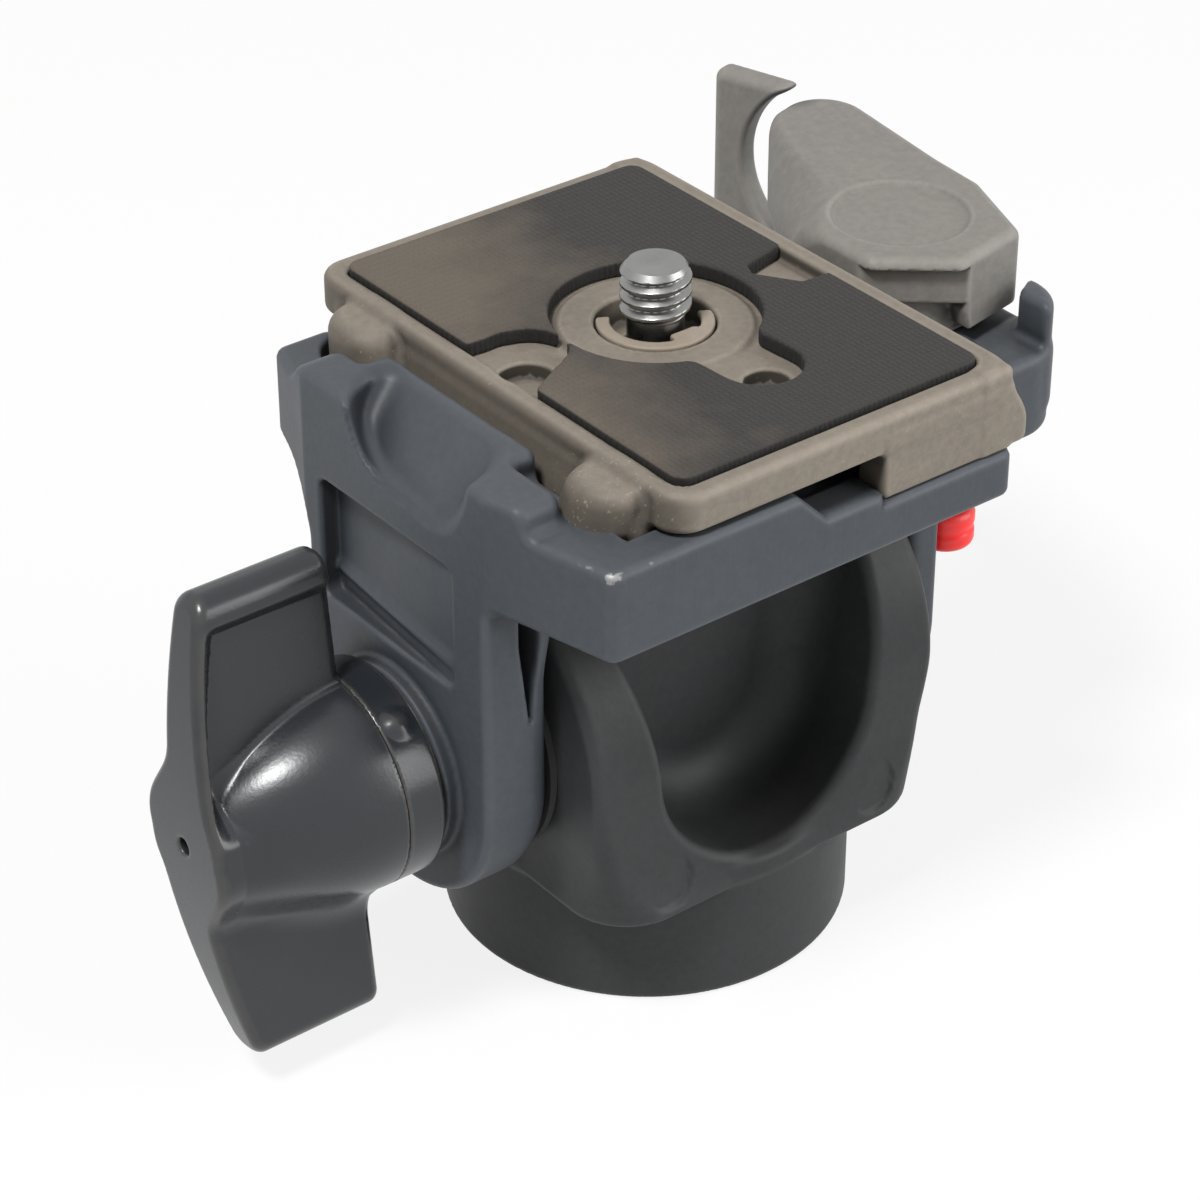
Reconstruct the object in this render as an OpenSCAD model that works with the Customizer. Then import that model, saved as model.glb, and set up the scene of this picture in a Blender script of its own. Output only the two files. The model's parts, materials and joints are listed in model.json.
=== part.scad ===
// Tilt head for a monopod: a yoke base, a tilting head with a quick-release plate, and a locking knob.
// Origin at the mouth of the base socket, +Z up, tilt axis along X, knob at -X, lever at +X, front at -Y.

/* [Base] */
// Diameter of the round foot
foot_diameter = 38.4; // [36:0.2:42]
// Height of the round foot
foot_height = 12; // [9:0.5:13]
// Height of the tilt axis above the mouth of the socket
axis_height = 26.4; // [25:0.2:30]
// Radius of the yoke's arms about the tilt axis
yoke_radius = 17.8; // [16:0.2:19]
// Width across the outer faces of the yoke's arms
yoke_width = 39.2; // [36:0.2:42]
// Width of the yoke at its waist, between the skirt and the arms
yoke_waist = 37.2; // [33:0.2:38]
// How far the yoke's skirt stands out past the foot
skirt_overhang = 0.2; // [0.1:0.1:1]
// Radius of the yoke's upright corners
yoke_corner = 4; // [1:0.5:6]
// Width of the pocket between the arms
pocket_width = 24; // [18:0.5:26]
// Wall left between the front pocket and the back pocket
web_thickness = 14; // [13:0.5:20]
// Radius where the floor of a pocket turns into its wall
pocket_fillet = 5; // [2:0.5:6]
// Radius of the round casting marks on the yoke
mark_radius = 2.8; // [2:0.1:3.5]
// Depth of the round casting marks
mark_depth = 0.4; // [0.2:0.1:0.8]

/* [Base socket] */
// Major diameter of the tripod thread in the base, three eighths of an inch
socket_diameter = 9.525; // [9.4:0.005:9.6]
// Depth of the threaded socket
socket_depth = 11; // [9:0.5:12]
// Outside diameter of the steel thread bush
bush_diameter = 14; // [12:0.5:17]
// Diameter of the flange inside the end of the bush
bush_flange_diameter = 17; // [15:0.5:19]
// Thickness of that flange
bush_flange = 1.2; // [1:0.1:2]

/* [Tilt joint] */
// Diameter of the tilt bolt
bolt_diameter = 8; // [6:0.5:9]
// Wall of the sleeve that lines the yoke
sleeve_wall = 1; // [0.8:0.1:1.5]
// Thickness of the friction washers beside the yoke
washer_thickness = 0.7; // [0.5:0.1:1.2]
// Outside diameter of the friction washers
washer_diameter = 24; // [20:0.5:26]
// Size across the flats of the bolt head
bolt_head_flats = 13; // [11:0.5:14]
// Thickness of the bolt head
bolt_head_height = 2.6; // [2:0.1:3]

/* [Head] */
// Radius of the cheeks about the tilt axis
cheek_radius = 13.2; // [12.5:0.1:15]
// Thickness of the cheek on the knob side
knob_cheek = 7.7; // [6:0.1:9]
// Thickness of the cheek on the lever side
lever_cheek = 3.7; // [3.2:0.1:5]
// Gap between the underside of the platform and what it swings over
swing_gap = 2.2; // [1.5:0.1:4]
// Thickness of the platform
platform_thickness = 8.7; // [7.5:0.1:11]
// Reach of the platform in front of the tilt axis
platform_front = 26.5; // [24:0.5:30]
// Reach of the platform behind the tilt axis
platform_back = 22; // [20:0.5:26]
// How far the front corner on the knob side is cut back from the cheek
corner_cut = 3.2; // [2:0.1:5]
// Depth of the label panel sunk into the knob-side cheek
panel_depth = 0.8; // [0.4:0.1:1.2]
// Length of the label panel
panel_length = 19.4; // [12:0.2:20]
// Height of the label panel
panel_height = 12; // [8:0.5:13]
// Width of the groove in the front edge of the knob-side cheek
groove_width = 2.4; // [1.5:0.1:4]
// Length of that groove
groove_length = 8.4; // [5:0.2:12]
// Depth of that groove
groove_depth = 3; // [1.5:0.1:5]

/* [Quick-release plate] */
// Offset of the plate's middle from the middle of the yoke, towards the lever
plate_offset = 0.7; // [0:0.1:1]
// Length of the plate's top, front to back
plate_length = 52; // [48:0.5:56]
// Width of the plate's top
plate_width = 37.4; // [36:0.2:38]
// How far the dovetail flares out past the top on each side
plate_flare = 2; // [1.2:0.1:2.4]
// Thickness of the plate's top slab
plate_slab = 3.7; // [3:0.1:5]
// Depth of the dovetail rails under the slab
rail_depth = 4.4; // [3.5:0.1:5.5]
// Width of each dovetail rail
rail_width = 12; // [8:0.5:14]
// Radius of the plate's corners
plate_corner = 3; // [1:0.5:5]
// Rim left round the rubber pad
rim_width = 2; // [1.5:0.1:4]
// Depth of the recess that holds the pad
pad_recess = 1; // [0.6:0.1:1.6]
// How far the pad stands proud of the rim
pad_proud = 0.6; // [0.2:0.1:1]
// Diameter of the round window in the pad
window_diameter = 18.8; // [16:0.2:22]
// Reach of the fixed jaw along the plate
jaw_length = 32.4; // [24:0.2:34]
// Gap round the plate in its seat
seat_clearance = 0.3; // [0.2:0.05:0.5]
// Width of the floor of the thumb scoop in the fixed jaw
scoop_width = 11.6; // [8:0.2:14]
// Slope of the floor of the thumb scoop, in degrees
scoop_slope = 43; // [30:1:50]

/* [Camera screw] */
// Major diameter of the camera thread, a quarter of an inch
screw_diameter = 6.35; // [6.2:0.05:6.5]
// Length of thread that stands above the pad
screw_reach = 4.6; // [4:0.1:6]
// Diameter of the undercut neck
neck_diameter = 4.6; // [4:0.1:5]
// Diameter of the screw's head under the slab
screw_head_diameter = 11; // [9.5:0.5:13]
// Thickness of the screw's head
screw_head_height = 1.8; // [1.4:0.1:2.2]
// Wire of the folding ring on the screw's head
ring_wire = 1.2; // [0.9:0.1:1.3]

/* [Lever] */
// Distance of the lever's pivot from the lever-side cheek
pivot_margin = 5.8; // [5:0.1:7]
// Diameter of the pivot pin
pivot_diameter = 5; // [4:0.5:6]
// Wall of the brass bush in the lever
lever_bush_wall = 0.8; // [0.6:0.1:1.2]
// Height of the lever's hub above the bracket
lever_height = 5.8; // [5:0.1:7]
// Thickness of the cam under the hub
cam_height = 3; // [2:0.1:3.5]
// Length of the lever's hub behind its pivot
lever_length = 22.5; // [18:0.5:24]
// Width of the lever's hub outboard of the pivot
lever_outboard = 10; // [8.5:0.1:11]
// Reach of the hub in front of the pivot
lever_nose = 10.7; // [9.5:0.1:11.5]
// Reach of the finger blade behind the hub
blade_reach = 8.9; // [8:0.1:11]
// Length of the finger blade along its face
blade_length = 9.7; // [8.5:0.1:11]
// Thickness of the finger blade
blade_thickness = 2.8; // [2.4:0.1:3.6]
// Height that the finger blade rises above the hub
blade_rise = 2; // [1:0.1:4]
// Radius of the hollow in the blade's front edge, round the hub's end
blade_hollow = 10.2; // [9:0.1:11]

/* [Safety catch] */
// Diameter of the catch pin
catch_pin_diameter = 2.4; // [2:0.1:3]
// Diameter of the red button
catch_button_diameter = 5.6; // [4.6:0.1:6]
// Height of the red button
catch_button_height = 4; // [3:0.1:5]
// Distance that the button hangs under the bracket
catch_drop = 8; // [5:0.5:9]
// Travel of the catch
catch_travel = 3; // [2:0.1:3.5]

/* [Knob] */
// Half length of the wing
wing_reach = 21.3; // [17:0.1:22]
// Thickness of the wing at its ends
wing_tip = 5.6; // [4:0.1:8]
// Thickness of the wing at its middle
wing_middle = 10.4; // [9:0.1:12]
// Depth of the wing along the axis, at its ends
wing_depth = 13; // [10:0.5:16]
// How far the wing's end face bows out
wing_bow = 3.6; // [2:0.1:5]
// Lean of the wing at rest, in degrees
wing_lean = 7; // [-20:1:20]
// Diameter of the knob's hub and collar
hub_diameter = 20.4; // [18:0.2:24]
// Length of the collar
collar_length = 3.8; // [3:0.1:6]
// Thickness of the raised seat round the bolt on the cheek
knob_seat = 1.4; // [1:0.1:2.5]
// Thickness of the washer under the collar
knob_washer = 0.8; // [0.5:0.1:1.2]
// Diameter of the small hole in the knob's end face
vent_diameter = 1.6; // [1:0.1:2.5]

/* [Fits] */
// Radial clearance of a pin in its bore
running_clearance = 0.05; // [0.02:0.01:0.1]
// Gap between faces that slide past each other
sliding_gap = 0.3; // [0.2:0.05:0.4]

/* [Hidden] */
$fn = 64;
eps = 0.02;
overcut = 5;

// Levels, from the foot up
foot_radius = foot_diameter / 2;
underside = axis_height + max(yoke_radius, foot_radius + skirt_overhang) + swing_gap;
platform_top = underside + platform_thickness;
slab_bottom = platform_top + seat_clearance;
plate_top = slab_bottom + plate_slab;
pad_floor = plate_top - pad_recess;
pad_top = plate_top + pad_proud;
rail_bottom = slab_bottom - rail_depth;
seat_floor = rail_bottom;
screw_top = pad_top + screw_reach;

// Stations along the tilt axis, outward from the yoke
arm_face = yoke_width / 2;
cheek_face = arm_face + washer_thickness;
knob_face = cheek_face + knob_cheek;
seat_face = knob_face + knob_seat;
collar_face = seat_face + knob_washer;
wing_face = collar_face + collar_length;
wing_end = wing_face + wing_depth;
lever_face = cheek_face + lever_cheek;

// Radii about the tilt axis
bolt_radius = bolt_diameter / 2;
sleeve_bore = bolt_radius + running_clearance;
sleeve_radius = sleeve_bore + sleeve_wall;
yoke_bore = sleeve_radius + running_clearance;
cheek_bore = bolt_radius + running_clearance;
head_pocket_flats = bolt_head_flats + 2 * running_clearance;
hub_radius = hub_diameter / 2;
insert_radius = bolt_radius + 2;
insert_reach = 8;
bolt_reach = 4;
wing_end_round = 1.6;
wing_middle_round = 6;
vent_depth = 3;
bump_radius = 1;
bump_height = 0.3;
bump_angle = 36;
seat_margin = 1;
knob_washer_margin = 1.6;

// The yoke's skirt and its waist, halfway up to the tilt axis
skirt = foot_radius + skirt_overhang;
waist_height = (foot_height + axis_height) / 2;
flare_round = 6;

// The base socket
bush_radius = bush_diameter / 2;
bush_bore = socket_diameter / 2;
bush_top = socket_depth + bush_flange;

// The plate and the jaw that holds it
plate_half = plate_width / 2;
flare_half = plate_half + plate_flare;
plate_half_length = plate_length / 2;
seat_half_length = plate_half_length - plate_flare - 1.5;
rail_half_length = seat_half_length - seat_clearance;
lip_edge = -5;
notch_edge = 4.5;
notch_step = 1;
plate_middle = [plate_offset, 0, 0];
jaw_front = -17.3;
jaw_drop = 1.6;
jaw_back = jaw_front + jaw_length;
jaw_top = plate_top - jaw_drop;
jaw_lean = plate_flare / rail_depth;
lip_share = 0.62;
jaw_chamfer = 2;
window_radius = window_diameter / 2;
key_margin = 3.5;
key_x = window_radius + key_margin;
key_y = 1.4;
key_radius = 3.5;
arrow_x = window_radius + 1.8;
arrow_back = 3;
arrow_front = 4;
arrow_step = 2.3;
lobe_angle = -85;
lobe_step = 3.4;
lobe_radius = 3.8;
pad_gap = 0.1;
pad_corner = 1.4;
pad_width = plate_width - 2 * rim_width - 2 * pad_gap;
pad_length = plate_length - 2 * rim_width - 2 * pad_gap;
scoop_y = -0.7;
scoop_draft = 28;

// The recesses of the knob-side cheek
panel_margin = 1;
panel_shift = 1.3;
panel_corner = 1;
groove_wall = 0.9;

// The camera screw and its clip
screw_radius = screw_diameter / 2;
screw_hole = screw_radius + 0.2;
thread_foot = pad_top - 0.4;
thread_chamfer = 0.6;
slot_width = 1.2;
slot_depth = 1;
clip_radius = 5.2;
clip_thickness = 0.6;
clip_mouth = 3.8;

// The lever and its bracket
pivot_y = 0.5;
pivot_reach = lever_face + pivot_margin;
pivot_radius = pivot_diameter / 2;
lever_bush_bore = pivot_radius + running_clearance;
lever_bush_radius = lever_bush_bore + lever_bush_wall;
lever_bore = lever_bush_radius + running_clearance;
bracket_top = slab_bottom - rail_depth - sliding_gap;
cam_bottom = bracket_top + sliding_gap;
hub_bottom = cam_bottom + cam_height;
hub_top = hub_bottom + lever_height;
cam_radius = pivot_reach - plate_offset - flare_half - sliding_gap;
bracket_thickness = 8.5;
bracket_bottom = bracket_top - bracket_thickness;
bracket_out = pivot_reach + lever_outboard - 2.6;
bracket_front = -15.5;
bracket_back = 13;
bracket_root = 1.4;
bracket_front_corner = 5;
bracket_back_corner = 8;
guard_depth = 4;
guard_width = 10.6;
guard_sweep = norm([lever_outboard, lever_nose]) - 2.4;
hub_inner = plate_offset + plate_half + 1.8;
hub_outer = pivot_reach + lever_outboard;
hub_front = pivot_y - lever_nose;
hub_back = pivot_y + lever_length;
nose_left = pivot_reach - 2;
nose_side = 5.3;
nose_cut = [3.4, 1.6];
nose_clearance = 0.4;
relief_top = slab_bottom + 1;
relief_plate = plate_offset + plate_half + plate_flare * (relief_top - hub_bottom) / rail_depth;
relief_swing = pivot_reach - relief_plate - nose_clearance;
relief_side = sqrt(max(0, pow(relief_swing, 2) - pow(pivot_reach - hub_inner, 2)));
side_step = [1.2, 10];
arm_flare = 1.2;
arm_end = [7, 1.2];
arm_shoulder = [11.8, 6];
hub_rear = 5.5;
lever_corners = [1, 1.6, 2.4, 3, 3, 4, 3, 1];
pivot_head_height = 1.6;
pivot_head_radius = pivot_radius + 2;
blade_inset = 6.4;
blade_tip = [hub_outer - blade_inset, hub_back + blade_reach];
blade_turn = 73.2;
hollow_ahead = 5.6;
hollow_height = hub_bottom - 0.7;
neck_drop = 7.8;
neck_bottom = bracket_top - neck_drop;
neck_web = 2.7;
neck_width = 4.7;
neck_depth = 7.5;
neck_reach = 12;
neck_ahead = 9;
neck_front = hub_back - neck_ahead;
neck_side = hub_outer + 0.5;
cam_flat = 1.6;
cam_flat_angle = 135;
lever_cap = 2;
pivot_end_gap = 0.4;
spring_wire = 0.9;
spring_turns = 3;
spring_radius = lever_bush_radius + 1;
spring_pocket_radius = spring_radius + 1;
spring_pocket_depth = 4;

// The safety catch hangs under the bracket, in front of the pivot
catch_inset = 1.8;
catch_x = pivot_reach - catch_inset;
catch_margin = 1.9;
catch_y = pivot_y - cam_radius - catch_margin;
catch_top = bracket_top - sliding_gap;
catch_bottom = bracket_bottom - catch_drop - catch_button_height;
catch_pin_radius = catch_pin_diameter / 2;
catch_head_radius = catch_pin_radius + 0.7;
catch_head_height = 1.2;
catch_head_bottom = catch_top - catch_head_height;
catch_wire = 0.5;
catch_turns = 4;
catch_pocket_floor = catch_head_bottom - catch_travel - (catch_turns + 1) * catch_wire;
button_cap = 1;
end_gap = 0.05;

// The trigger under the plate
trigger_inset = 6.4;
trigger_x = plate_offset + plate_half - trigger_inset;
trigger_y = -2;
trigger_radius = 2.4;
trigger_stem = 1.2;
trigger_head = 1.2;
trigger_wire = 0.5;
trigger_turns = 3;
trigger_depth = 3.4;
trigger_floor = seat_floor - trigger_depth;

// Coil springs: rings in a turn, and sides of the wire
coil_steps = 16;
coil_sides = 6;

// Arc of points about a centre, from one angle to another
function arc(centre, radius, from, to, steps) =
    [for (i = [0 : steps]) let (a = from + (to - from) * i / steps) centre + radius * [cos(a), sin(a)]];

// Corner b between a and c, rounded with a radius
function corner(a, b, c, radius) =
    let (u = (a - b) / norm(a - b), v = (c - b) / norm(c - b))
    let (half = acos(max(-1, min(1, u * v))) / 2)
    let (centre = b + (u + v) / norm(u + v) * radius / sin(half))
    let (first = b + u * radius / tan(half) - centre, last = b + v * radius / tan(half) - centre)
    let (from = atan2(first[1], first[0]), sweep = atan2(last[1], last[0]) - from)
    arc(centre, radius, from, from + (sweep > 180 ? sweep - 360 : sweep < -180 ? sweep + 360 : sweep), 6);

// Outline with each corner rounded by its own radius, where zero leaves it sharp
function rounded(points, radii) =
    let (n = len(points))
    [for (i = [0 : n - 1])
        for (p = radii[i] > 0
            ? corner(points[(i + n - 1) % n], points[i], points[(i + 1) % n], radii[i])
            : [points[i]]) p];

// Rectangle about the origin with round corners
module round_rectangle(length_x, length_y, radius) {
    x = length_x / 2;
    y = length_y / 2;
    polygon(rounded([[-x, -y], [x, -y], [x, y], [-x, y]], [radius, radius, radius, radius]));
}

// Outline in Y and Z, drawn out along X
module along_x(from, to) {
    translate([from, 0, 0]) rotate([90, 0, 90]) linear_extrude(to - from) children();
}

// Outline in X and Z, drawn out along Y
module along_y(from, to) {
    translate([0, to, 0]) rotate([90, 0, 0]) linear_extrude(to - from) children();
}

// Outline in X and Y, drawn out along Z
module along_z(from, to) {
    translate([0, 0, from]) linear_extrude(to - from) children();
}

// Round bar on the tilt axis
module axle(radius, from, to) {
    translate([from, 0, axis_height]) rotate([0, 90, 0]) cylinder(r = radius, h = to - from);
}

// Upright round bar
module post(x, y, radius, from, to) {
    translate([x, y, from]) cylinder(r = radius, h = to - from);
}

// Tube on the tilt axis
module axle_tube(outer, inner, from, to) {
    difference() {
        axle(outer, from, to);
        axle(inner, from - 1, to + 1);
    }
}

// Point of an upright coil, and the ring of points round it
function coil_point(radius, rise, turns, t) =
    let (a = 360 * turns * t) [radius * cos(a), radius * sin(a), rise * t];
function coil_ring(radius, rise, turns, t, wire) =
    let (a = 360 * turns * t, outward = [cos(a), sin(a), 0])
    let (slope = atan2(rise, 2 * PI * radius * turns))
    let (across = [sin(slope) * sin(a), -sin(slope) * cos(a), cos(slope)])
    [for (k = [0 : coil_sides - 1])
        let (b = 360 * k / coil_sides)
        coil_point(radius, rise, turns, t) + wire / 2 * (cos(b) * outward + sin(b) * across)];

// Upright coil spring, one unbroken round wire from its lower end to its upper end
module upright_coil(x, y, radius, wire, turns, from, to) {
    steps = ceil(coil_steps * turns);
    rise = to - from - wire;
    points = [for (i = [0 : steps]) each coil_ring(radius, rise, turns, i / steps, wire)];
    skin = [for (i = [0 : steps - 1], k = [0 : coil_sides - 1])
        let (a = i * coil_sides + k, b = i * coil_sides + (k + 1) % coil_sides)
        each [[a, a + coil_sides, b], [b, a + coil_sides, b + coil_sides]]];
    first = [for (k = [1 : coil_sides - 2]) [0, k, k + 1]];
    last = [for (k = [1 : coil_sides - 2])
        let (n = steps * coil_sides) [n, n + k + 1, n + k]];
    translate([x, y, from + wire / 2]) polyhedron(points, concat(skin, first, last), convexity = 10);
}

// Outline of the yoke seen along the tilt axis: round about the axis, straight down to the skirt
module yoke_side() {
    polygon(concat([[skirt, foot_height - eps], [yoke_radius, waist_height]],
                   arc([0, axis_height], yoke_radius, 0, 180, 48),
                   [[-yoke_radius, waist_height], [-skirt, foot_height - eps]]));
}

// Outline of the yoke seen from the front: wide at the skirt, waisted above it, full width at the tilt axis
module yoke_front() {
    waist = yoke_waist / 2;
    top = axis_height + yoke_radius + 1;
    foot = foot_height - eps;
    polygon(rounded([[-skirt, foot], [skirt, foot], [waist, waist_height], [arm_face, axis_height],
                     [arm_face, top], [-arm_face, top], [-arm_face, axis_height], [-waist, waist_height]],
                    [0, 0, flare_round, flare_round, 0, 0, flare_round, flare_round]));
}

// Half profile of a pocket: radius from the pocket's middle against distance from the web
module pocket_profile() {
    half = pocket_width / 2;
    depth = yoke_radius;
    polygon(concat([[0, 0], [half - pocket_fillet, 0]],
                   arc([half - pocket_fillet, pocket_fillet], pocket_fillet, -90, 0, 8),
                   [[half, depth], [0, depth]]));
}

// Space of one pocket, open to the front and the top
module pocket(side) {
    rotate([0, 0, side > 0 ? 180 : 0])
        translate([0, -web_thickness / 2, axis_height]) {
            rotate([90, 0, 0]) rotate_extrude() pocket_profile();
            linear_extrude(yoke_radius + 1) {
                mirror([0, 1]) pocket_profile();
                mirror([1, 0]) mirror([0, 1]) pocket_profile();
            }
        }
}

// Round mark left by a mould pin, a shallow recess square to the sloping front of the skirt
module mark(side) {
    lean = atan((skirt - yoke_radius) / (waist_height - foot_height));
    translate([side * pocket_width / 2, -(skirt + yoke_radius) / 2, (foot_height + waist_height) / 2])
        rotate([90 - lean, 0, 0]) post(0, 0, mark_radius, -mark_depth, 1);
}

// Cast base: round foot, waisted block and two arms, with a pocket in front and behind
module base_yoke() color("#3a3b3d") {
    difference() {
        union() {
            cylinder(r = foot_radius, h = foot_height);
            intersection() {
                along_x(-arm_face, arm_face) yoke_side();
                along_y(-skirt - yoke_radius, skirt + yoke_radius) yoke_front();
                along_z(0, axis_height + 2 * yoke_radius)
                    round_rectangle(2 * max(arm_face, skirt), 2 * max(yoke_radius, skirt), yoke_corner);
            }
        }
        for (side = [-1, 1]) {
            pocket(side);
            mark(side);
        }
        axle(yoke_bore, -arm_face - 1, arm_face + 1);
        translate([0, 0, -1]) cylinder(r = bush_radius + running_clearance, h = socket_depth + 1);
        post(0, 0, bush_flange_diameter / 2 + running_clearance, socket_depth, bush_top);
    }
}

// Steel bush with the tripod thread, cast into the foot and held by its flange
module base_bush() color("#9a9a98") difference() {
    union() {
        cylinder(r = bush_radius, h = socket_depth);
        post(0, 0, bush_flange_diameter / 2, socket_depth, bush_top);
    }
    translate([0, 0, -1]) cylinder(r = bush_bore, h = socket_depth + 1);
}

// Plain sleeve that the tilt bolt turns in
module axle_sleeve() color("#b08d57") axle_tube(sleeve_radius, sleeve_bore, -arm_face, arm_face);

module knob_side_washer() color("#e6e2d6")
    axle_tube(washer_diameter / 2, cheek_bore, -cheek_face, -arm_face);

module lever_side_washer() color("#e6e2d6")
    axle_tube(washer_diameter / 2, cheek_bore, arm_face, cheek_face);

// Plan of the platform, from the front corner on the knob side round to the back
module platform_plan() {
    left = knob_face - corner_cut;
    right = plate_half + seat_clearance;
    shoulder = lever_face + bracket_root;
    polygon(rounded([[-left, -platform_front], [right, -platform_front], [shoulder, bracket_front],
                     [shoulder, bracket_back], [right, platform_back], [-left, platform_back],
                     [-knob_face, cheek_radius], [-knob_face, -cheek_radius]],
                    [1.5, 3, 2, 2, 3, 1.5, 2, 1]));
}

// Outline of a cheek: round about the tilt axis, straight up to the platform
module cheek_side() {
    polygon(concat([[cheek_radius, underside + eps]], arc([0, axis_height], cheek_radius, 0, -180, 40),
                   [[-cheek_radius, underside + eps]]));
}

// Outline of the fixed jaw seen from the front: it leans over the plate's dovetail
module jaw_front_outline() {
    foot = flare_half + seat_clearance - plate_offset;
    lip = foot - (jaw_top - seat_floor) * jaw_lean * lip_share;
    polygon([[-knob_face, underside + 1], [-foot, underside + 1], [-foot, seat_floor],
             [-lip, jaw_top], [-knob_face + jaw_chamfer, jaw_top], [-knob_face, jaw_top - jaw_chamfer]]);
}

// Plan of the bracket that carries the lever
module bracket_plan() {
    polygon(rounded([[cheek_face, bracket_front], [bracket_out, bracket_front], [bracket_out, bracket_back],
                     [cheek_face, bracket_back]], [0, bracket_front_corner, bracket_back_corner, 0]));
}

// Guard that stands at the front corner of the bracket, outboard of the lever
module guard() {
    intersection() {
        along_z(bracket_top - eps, platform_top) difference() {
            bracket_plan();
            translate([pivot_reach, pivot_y]) circle(guard_sweep);
        }
        translate([bracket_out - guard_width, bracket_front, 0])
            cube([guard_width, guard_depth, platform_top]);
    }
}

// Seat that the plate drops into: closed in front on the knob side, open on the lever side
module plate_seat() {
    seat_side = flare_half + seat_clearance - plate_offset;
    lever_edge = lever_face + bracket_root + 1;
    height = platform_top - seat_floor + overcut;
    translate([-seat_side, -seat_half_length, seat_floor])
        cube([seat_side + lever_edge, 2 * seat_half_length, height]);
    translate([lip_edge, -platform_front - 1, seat_floor + notch_step])
        cube([notch_edge - lip_edge, platform_front + 1, height]);
    translate([notch_edge - eps, -platform_front - 1, seat_floor])
        cube([lever_edge - notch_edge, platform_front + platform_back + 2, height]);
}

// Sloping thumb scoop in the jaw: its floor climbs to the jaw's inner edge and its sides lean out
module thumb_scoop() {
    floor_low = jaw_top - (knob_face - flare_half) * tan(scoop_slope);
    reach = (knob_face - flare_half) / cos(scoop_slope);
    low = scoop_width / 2;
    high = low + reach * tan(scoop_draft);
    translate([-knob_face, scoop_y, floor_low]) rotate([0, -scoop_slope, 0])
        along_x(-reach, reach) polygon([[-low, 0], [low, 0], [high, reach], [-high, reach]]);
}

// Label panel and the front groove of the knob-side cheek
module cheek_recesses() {
    panel_low = axis_height + hub_radius + panel_margin;
    along_x(-knob_face - 1, -knob_face + panel_depth) translate([panel_shift, panel_low + panel_height / 2])
        round_rectangle(panel_length, panel_height, panel_corner);
    groove_low = underside - groove_wall - groove_length;
    translate([-cheek_face - groove_wall - groove_width, -cheek_radius - 1, groove_low])
        cube([groove_width, groove_depth + 1, groove_length]);
}

// Tilting head: platform, two cheeks, fixed jaw and lever bracket in one casting
module head_body() color("#4b5158") difference() {
    union() {
        difference() {
            along_z(underside, platform_top) platform_plan();
            plate_seat();
        }
        along_x(-knob_face, -cheek_face) cheek_side();
        along_x(cheek_face, lever_face) cheek_side();
        axle(hub_radius - seat_margin, -seat_face, -knob_face + eps);
        intersection() {
            along_y(jaw_front, jaw_back) jaw_front_outline();
            along_z(underside, jaw_top + 1) platform_plan();
        }
        along_z(bracket_bottom, bracket_top) bracket_plan();
        guard();
    }
    axle(cheek_bore, -seat_face - 1, lever_face + 1);
    translate([lever_face - bolt_head_height, 0, axis_height]) rotate([0, 90, 0])
        cylinder(d = head_pocket_flats / cos(30), h = bolt_head_height + overcut, $fn = 6);
    cheek_recesses();
    thumb_scoop();
    post(pivot_reach, pivot_y, pivot_radius + running_clearance, bracket_bottom - 1, bracket_top + 1);
    post(pivot_reach, pivot_y, spring_pocket_radius, bracket_top - spring_pocket_depth, bracket_top + 1);
    post(catch_x, catch_y, catch_pin_radius + running_clearance, bracket_bottom - 1, bracket_top + 1);
    post(catch_x, catch_y, catch_head_radius + sliding_gap, catch_pocket_floor, bracket_top + 1);
    post(trigger_x, trigger_y, trigger_radius + running_clearance, trigger_floor, seat_floor + 1);
    post(trigger_x, trigger_y, trigger_stem + running_clearance, underside - 1, seat_floor);
}

// Tilt bolt: hexagon head let into the lever-side cheek, thread under the knob
module tilt_bolt() color("#8f9296") {
    bolt_end = wing_face + bolt_reach;
    axle(bolt_radius, -bolt_end, lever_face - bolt_head_height + eps);
    translate([lever_face - bolt_head_height, 0, axis_height]) rotate([0, 90, 0])
        cylinder(d = bolt_head_flats / cos(30), h = bolt_head_height, $fn = 6);
}

module knob_seat_washer() color("#a7a9ab")
    axle_tube(hub_radius - knob_washer_margin, cheek_bore, -collar_face, -seat_face);

// Collar that closes the back of the knob, with a small round locating bump
module knob_collar() color("#2e3032") difference() {
    union() {
        axle(hub_radius, -wing_face, -collar_face);
        translate([-collar_face - collar_length / 2, 0, axis_height])
            rotate([bump_angle, 0, 0]) cylinder(r = bump_radius, h = hub_radius + bump_height);
    }
    axle(insert_radius + running_clearance, -wing_face - 1, -collar_face + 1);
}

// Half profile of the knob's hub, which swells from the wing's end to the collar
module hub_profile() {
    hub_length = wing_depth - 1;
    polygon(concat([[0, 0]], [for (i = [0 : 12]) let (t = i / 12)
        [hub_radius - (hub_radius - wing_middle / 2) * pow(t, 2), t * hub_length]],
        [[0, hub_length]]));
}

// Wing of the knob seen along the tilt axis: a long diamond with blunt ends
module wing_outline() {
    tip = wing_tip / 2;
    waist = wing_middle / 2;
    end = min(wing_end_round, tip - eps);
    polygon(rounded([[-tip, -wing_reach], [tip, -wing_reach], [waist, 0],
                     [tip, wing_reach], [-tip, wing_reach], [-waist, 0]],
                    [end, end, wing_middle_round, end, end, wing_middle_round]));
}

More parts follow.
